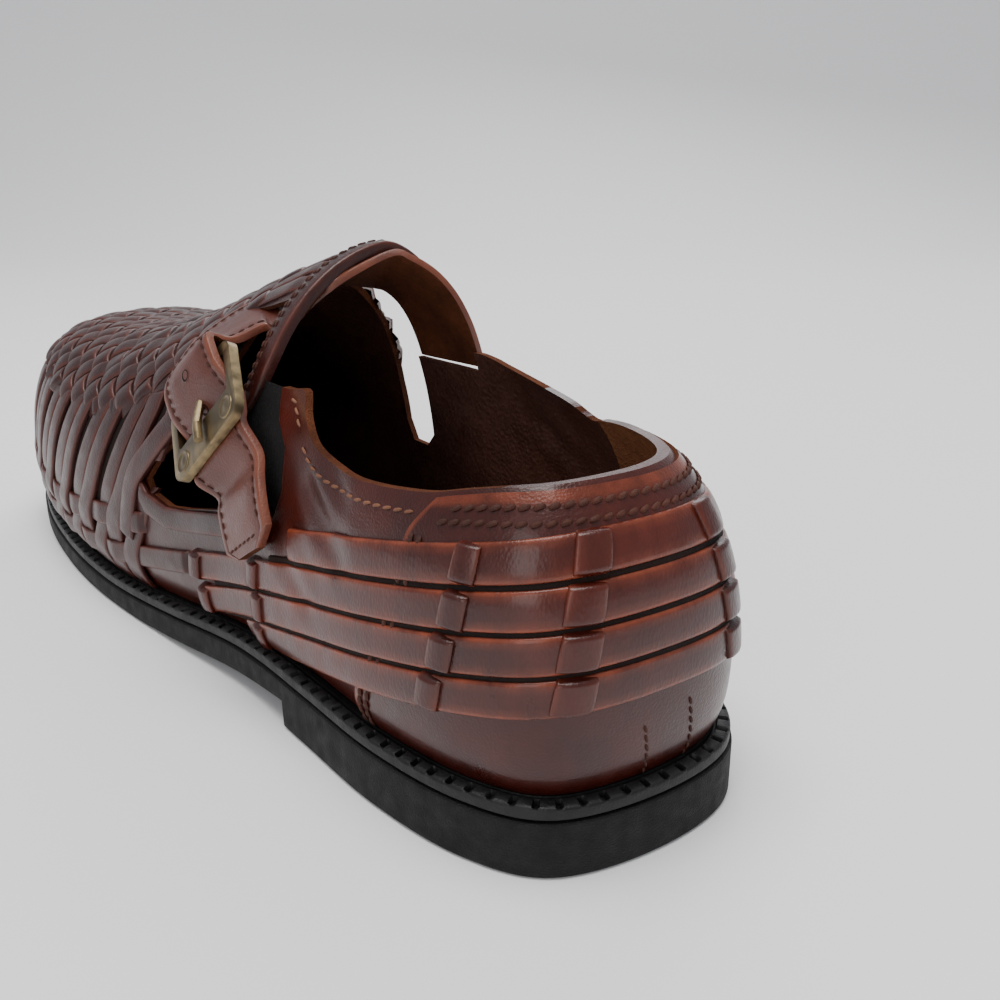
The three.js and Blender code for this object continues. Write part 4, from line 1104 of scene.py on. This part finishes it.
# ------------------------------------------------------------ elastic gore
GORE = [(52.5, 62.2, 48), (57, 64.4, 46), (62, 63.9, 43.5), (66.5, 62.4, 42), (70.5, 57.8, 41), (74, 56.0, 40), (78, 53.8, 40)]
gb, gf = pchip([r[0] for r in GORE], [r[1] for r in GORE]), pchip([r[0] for r in GORE], [r[2] for r in GORE])
g = Gather()
zz = np.linspace(52.5, 78, 60)
cc = np.linspace(0, 1, 150)
Z, Cc = np.meshgrid(zz, cc, indexing="ij")
Y = gb(Z) + 1.4 + (gf(Z) - gb(Z) - 1.4) * Cc
p, n = with_normal(chart_qz, q_of_y(Y, 1), Z)
rib = 0.17 * np.cos(Cc * 2 * math.pi * 17)
top = p + n * (-1.0 + rib)[..., None]
bot = p + n * -2.0
g.grid(top, 0, None, out=n)
for a, b in ((top[0], bot[0]), (top[-1], bot[-1]), (top[:, 0], bot[:, 0]), (top[:, -1], bot[:, -1])):
    g.grid(np.stack([a, b], 1), 0)
gore = g.make("gore_ribbed", [ELASTIC], 60)
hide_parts("elastic_gore")
pieces.append(gore)


# ------------------------------------------------------------ buckle
def refine(src, name, width, mat, seg=3):
    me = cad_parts[src].data.copy()
    ob = bpy.data.objects.new(name, me)
    bpy.context.scene.collection.objects.link(ob)
    bm = bmesh.new()
    bm.from_mesh(me)
    bmesh.ops.remove_doubles(bm, verts=bm.verts, dist=2e-6)
    bmesh.ops.dissolve_limit(bm, angle_limit=math.radians(3), verts=bm.verts, edges=bm.edges)
    bm.to_mesh(me)
    bm.free()
    if width:
        md = ob.modifiers.new("bevel", "BEVEL")
        md.width = width / 1000
        md.segments = seg
        md.limit_method = "ANGLE"
        md.angle_limit = math.radians(40)
        apply_modifiers(ob)
    ob.data.materials.clear()
    ob.data.materials.append(mat)
    at = ob.data.attributes.new("wear", "FLOAT", "POINT")
    ob.data.shade_smooth()
    ob.data.set_sharp_from_angle(angle=math.radians(35))
    return ob


buckle = refine("buckle_frame", "buckle_frame_brass", 0.62, BRASS, 4)
v = np.zeros(len(buckle.data.vertices) * 3, np.float32)
buckle.data.vertices.foreach_get("co", v)
v = v.reshape(-1, 3) * 1000 + SHIFT - bC
edge = np.clip(np.maximum(np.abs(v @ bA) - FRAME_A / 2 + 0.7, np.abs(v @ bB) - FRAME_B / 2 + 0.7) / 0.6, 0, 1)
buckle.data.attributes["wear"].data.foreach_set("value", (edge * 0.8).astype(np.float32))
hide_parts("buckle_frame")
pieces.append(buckle)
prong = refine("buckle_prong", "buckle_prong_brass", 0, BRASS)
prong.data.attributes["wear"].data.foreach_set("value", np.full(len(prong.data.vertices), 0.5, np.float32))
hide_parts("buckle_prong")
pieces.append(prong)
# plain domed rings at the ends of the broad bar
g = Gather()
pb = -FRAME_B / 2 + PLATE_BAR / 2
for a0 in (-FRAME_A / 2 + 4.6, FRAME_A / 2 - 4.6):
    c = bC + bA * a0 + bB * pb + bN * (FRAME_T / 2)
    prof = [(2.9, -0.05), (2.75, 0.22), (2.45, 0.30), (2.2, 0.16), (1.9, 0.05), (1.2, 0.10), (0.6, 0.22), (0.02, 0.26)]
    G = np.array([[c + (bA * math.cos(2 * math.pi * m / 32) + bB * math.sin(2 * math.pi * m / 32)) * r + bN * h for r, h in prof] for m in range(33)])
    g.grid(G, 0, 0.25, out=np.broadcast_to(bN, G.shape))
ob = g.make("buckle_rings", [BRASS], 60)
pieces.append(ob)


# ------------------------------------------------------------ welt and outsole
def loop_inset(d, zf, extra=None, n=1840):
    """closed line inside the sole edge by d, at height zf(y)"""
    idx = np.arange(n) / n * len(EDGE)
    t = np.roll(EDGE, -2, 0) - np.roll(EDGE, 2, 0)
    t /= np.linalg.norm(t, axis=1)[:, None]
    nn = np.stack([-t[:, 1], t[:, 0]], 1)
    per = np.arange(len(EDGE) + 1)
    ex = np.stack([np.interp(idx, per, np.append(EDGE[:, k], EDGE[0, k])) for k in (0, 1)], -1)
    en = np.stack([np.interp(idx, per, np.append(nn[:, k], nn[0, k])) for k in (0, 1)], -1)
    dd = np.broadcast_to(np.asarray(d, float), (n,))
    p = ex - en * dd[:, None]
    return np.column_stack([p, zf(ex[:, 1]) if callable(zf) else zf])


n_l = 1840
ip = np.arange(n_l) / n_l * len(EDGE)
es = np.concatenate([[0], np.cumsum(np.linalg.norm(np.roll(EDGE, -1, 0) - EDGE, axis=1))])
arc_e = np.interp(ip, np.arange(len(EDGE) + 1), es)
TOOTH = es[-1] / round(es[-1] / 4.7)
ph = np.mod(arc_e / TOOTH, 1)
tooth = smooth(0.0, 0.07, ph) - smooth(0.72, 0.80, ph)          # 1 on a tooth, 0 in a notch
ye = np.interp(ip, np.arange(len(EDGE) + 1), np.append(EDGE[:, 1], EDGE[0, 1]))
fade = 0.35 + 0.65 * smooth(-120, 40, ye)
rz = rim_z(ye)
g = Gather()
levels = [(9.5, rz - 0.1), (4.2, rz - 0.1), (3.9, rz - 0.9), (3.55, rz - 1.0), (3.3, rz - 0.1),
          (3.2, rz - 0.0), (2.95, rz - 1.35 * (1 - tooth) * fade), (1.35, rz - 0.15 - 1.35 * (1 - tooth) * fade), (0.95, rz - 0.35 - 0.2 * (1 - tooth)),
          (0.62, rz - 0.6), (0.5, rz - 1.0), (0.5, rz - 2.7), (0.9, rz - 3.1), (1.2, rz - 3.3)]
G = np.stack([loop_inset(d, z) for d, z in levels], 1)
out = np.zeros_like(G)
out[..., 2] = 1
W = np.zeros(G.shape[:2])
W[:, 5:9] = 0.5 * tooth[:, None]
g.grid(G, 0, W, wrap=True)
welt = g.make("welt_notched", [WELT_MAT], 40)
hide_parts("welt")
pieces.append(welt)


def sole_bottom(y):
    y = np.asarray(y, float)
    u = np.clip((BREAST_Y - y) / (BREAST_Y - WAIST_END_Y), 0, 1)
    return np.where(y >= BREAST_Y, 0.0, np.where(y > WAIST_END_Y, WAIST_RISE * (1 - u) ** 1.25, spring(y)))


g = Gather()
sb = sole_bottom(ye)
top = rz - 3.55
lug = np.where(np.mod(arc_e / 9.4, 1) < 0.22, 1.0, 0.0) * smooth(0, 1, 1)
levels = [(2.0, top), (0.6, top), (0.15, top - 0.25), (0.0, top - 0.9), (0.0, sb + (top - sb) * 0.62), (0.0, sb + (top - sb) * 0.36), (0.0, sb + 1.15), (0.12, sb + 0.65), (0.5, sb + 0.2), (1.3, sb)]
G = np.stack([loop_inset(d, z) for d, z in levels], 1)
g.grid(G, 0, None, wrap=True)
# underside, flat across, following the sole's rise at the waist and toe
inner = G[:, -1]
ysr = np.sort(np.concatenate([np.linspace(-149.4, 148.9, 360), [BREAST_Y, BREAST_Y - 0.05, BREAST_Y + 0.4, BREAST_Y - 0.4]]))
toe_i, heel_i = int(np.argmin(inner[:, 1])), int(np.argmax(inner[:, 1]))
ringr = np.roll(inner, -heel_i, 0)
ti = int(np.argmin(ringr[:, 1]))
r_ = ringr[:ti + 1]
l_ = ringr[ti:]
xr = np.interp(ysr, r_[::-1, 1], r_[::-1, 0])
xl = np.interp(ysr, l_[:, 1], l_[:, 0])
cs_ = np.linspace(0, 1, 40)
X = xl[:, None] + (xr - xl)[:, None] * cs_[None, :]
Zb = np.broadcast_to(sole_bottom(ysr)[:, None], X.shape).copy()
Yb = np.broadcast_to(ysr[:, None], X.shape)
g.grid(np.stack([X, Yb, Zb], -1), 0, None, out=np.broadcast_to(np.array([0, 0, -1.0]), X.shape + (3,)))
outsole = g.make("outsole_rubber", [RUBBER], 45)
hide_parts("outsole")
pieces.append(outsole)

# insole with a rounded edge
g = Gather()
iz = rz + 3.3
lv = [(8.0, rz + 0.3), (7.7, iz - 0.6), (8.1, iz - 0.1), (9.0, iz)]
G = np.stack([loop_inset(d, z) for d, z in lv], 1)
g.grid(G, 0, None, wrap=True)
inner = G[:, -1]
heel_i = int(np.argmax(inner[:, 1]))
ringr = np.roll(inner, -heel_i, 0)
ti = int(np.argmin(ringr[:, 1]))
r_, l_ = ringr[:ti + 1], ringr[ti:]
ysi = np.linspace(inner[:, 1].min() + 0.05, inner[:, 1].max() - 0.05, 150)
xr, xl = np.interp(ysi, r_[::-1, 1], r_[::-1, 0]), np.interp(ysi, l_[:, 1], l_[:, 0])
X = xl[:, None] + (xr - xl)[:, None] * cs_[None, :]
Yi = np.broadcast_to(ysi[:, None], X.shape)
Zi = rim_z(Yi) + 3.3 - 0.5 * np.sin(math.pi * cs_)[None, :] ** 2
g.grid(np.stack([X, Yi, Zi], -1), 0, None, out=np.broadcast_to(np.array([0, 0, 1.0]), X.shape + (3,)))
ins = g.make("insole_sock", [LINING], 45)
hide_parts("insole")
pieces.append(ins)

# ------------------------------------------------------------ main creases of the upper, in the shoe's own sizes
# over the flex of the vamp: station of the trough, slant, depth, half width
VAMP_CREASES = [(-34.0, 0.16, 0.75, 3.4), (-46.0, -0.10, 0.85, 3.8), (-58.0, 0.12, 0.55, 3.2)]
# on the outer and inner quarters: y and z where a trough starts and ends, depth, half width
QUARTER_CREASES = [(74.0, 61.0, 96.0, 50.0, 0.6, 3.0), (79.0, 70.0, 92.0, 60.0, 0.45, 2.6), (66.0, 45.0, 82.0, 36.0, 0.45, 2.8)]


def creased(p):
    """moves points of the upper into soft troughs with low ridges beside them"""
    x, y, z = p[:, 0], p[:, 1], p[:, 2]
    out = p.copy()
    top = smooth(42, 54, z) * (1 - smooth(32, 43, np.abs(x)))
    for y0, slant, depth, half in VAMP_CREASES:
        d = (y - y0 - slant * x) / half
        out[:, 2] -= top * depth * (np.exp(-d ** 2) - 0.35 * np.exp(-((np.abs(d) - 1.9) / 0.8) ** 2))
    for ya, za, yb, zb, depth, half in QUARTER_CREASES:
        ey, ez = yb - ya, zb - za
        l = math.hypot(ey, ez)
        ey, ez = ey / l, ez / l
        s = (y - ya) * ey + (z - za) * ez
        d = ((y - ya) * ez - (z - za) * ey) / half
        win = smooth(-4, 3, s) * (1 - smooth(l - 3, l + 4, s)) * smooth(12, 22, np.abs(x))
        k = win * depth * (np.exp(-d ** 2) - 0.35 * np.exp(-((np.abs(d) - 1.9) / 0.8) ** 2))
        out[:, 0] -= np.sign(x) * k
    return out


for ob in (wall_ob, counter, seams, strips, loops, fore, plug):
    me = ob.data
    co = np.zeros(len(me.vertices) * 3, np.float32)
    me.vertices.foreach_get("co", co)
    p = creased(co.reshape(-1, 3).astype(float) * 1000 + SHIFT)
    me.vertices.foreach_set("co", ((p - SHIFT) / 1000).astype(np.float32).ravel())
    me.update()

for ob in pieces:
    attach(ob, "root")


# ------------------------------------------------------------ floor, light, camera
def at(p):
    return (np.asarray(p, float) - SHIFT) / 1000


AZ, EL, ROLL = math.radians(143.60), math.radians(18.74), math.radians(-0.052)
CAM = at([129.460, 272.569, 130.463])
back = np.array([math.sin(AZ) * math.cos(EL), -math.cos(AZ) * math.cos(EL), math.sin(EL)])
right = np.array([math.cos(AZ), math.sin(AZ), 0.0])
up = np.cross(back, right)
r2, u2 = right * math.cos(ROLL) + up * math.sin(ROLL), up * math.cos(ROLL) - right * math.sin(ROLL)
from mathutils import Matrix
cam_data = bpy.data.cameras.new("camera")
cam = bpy.data.objects.new("camera", cam_data)
bpy.context.scene.collection.objects.link(cam)
M = Matrix(((r2[0], u2[0], back[0], CAM[0]), (r2[1], u2[1], back[1], CAM[1]), (r2[2], u2[2], back[2], CAM[2]), (0, 0, 0, 1)))
cam.matrix_world = M
cam_data.sensor_width = 36
cam_data.lens = 1074.36 / 1000 * 36
cam_data.clip_start = 0.005
bpy.context.scene.camera = cam

floor_mat = bpy.data.materials.new("floor_pale")
floor_mat.use_nodes = True
fb = floor_mat.node_tree.nodes["Principled BSDF"]
fb.inputs["Base Color"].default_value = (0.93, 0.925, 0.93, 1)
fb.inputs["Roughness"].default_value = 0.75
fb.inputs["Specular IOR Level"].default_value = 0.2
fwd = -np.array([back[0], back[1]]) / math.hypot(back[0], back[1])
rgt = right[:2]
prof = [(-3.0, 0.0), (0.9, 0.0)] + [(0.9 + 1.2 * math.sin(a), 1.2 - 1.2 * math.cos(a)) for a in np.linspace(0, math.pi / 2, 24)[1:]] + [(2.1, 4.0)]
fv, ff = [], []
for s, z in prof:
    for w in (-5.0, 5.0):
        fv.append((float(fwd[0] * s + rgt[0] * w), float(fwd[1] * s + rgt[1] * w), z))
for i in range(len(prof) - 1):
    ff.append((2 * i, 2 * i + 1, 2 * i + 3, 2 * i + 2))
fm = bpy.data.meshes.new("floor")
fm.from_pydata(fv, [], ff)
fm.materials.append(floor_mat)
fm.shade_smooth()
floor = bpy.data.objects.new("floor", fm)
bpy.context.scene.collection.objects.link(floor)

world = bpy.data.worlds.new("studio")
bpy.context.scene.world = world
world.use_nodes = True
world.node_tree.nodes["Background"].inputs["Color"].default_value = (0.80, 0.82, 0.86, 1)
world.node_tree.nodes["Background"].inputs["Strength"].default_value = 0.62


def area(name, loc, look, size, power, color=(1, 1, 1)):
    d = bpy.data.lights.new(name, "AREA")
    d.shape = "RECTANGLE"
    d.size, d.size_y = size
    d.energy = power
    d.color = color
    o = bpy.data.objects.new(name, d)
    bpy.context.scene.collection.objects.link(o)
    from mathutils import Vector
    o.location = loc
    o.rotation_euler = (Vector(look) - Vector(loc)).to_track_quat("-Z", "Y").to_euler()
    return o


area("key_top", (0.15, 0.1, 1.35), (0, 0, 0.03), (1.0, 0.75), 18.5, (1.0, 0.98, 0.96))
area("side_soft", (1.2, 0.75, 0.55), (0, 0, 0.05), (0.7, 0.9), 5.0, (1.0, 0.99, 0.98))
area("back_soft", (-0.9, -0.7, 0.9), (0, 0, 0.05), (0.9, 0.7), 6.0, (0.97, 0.98, 1.0))

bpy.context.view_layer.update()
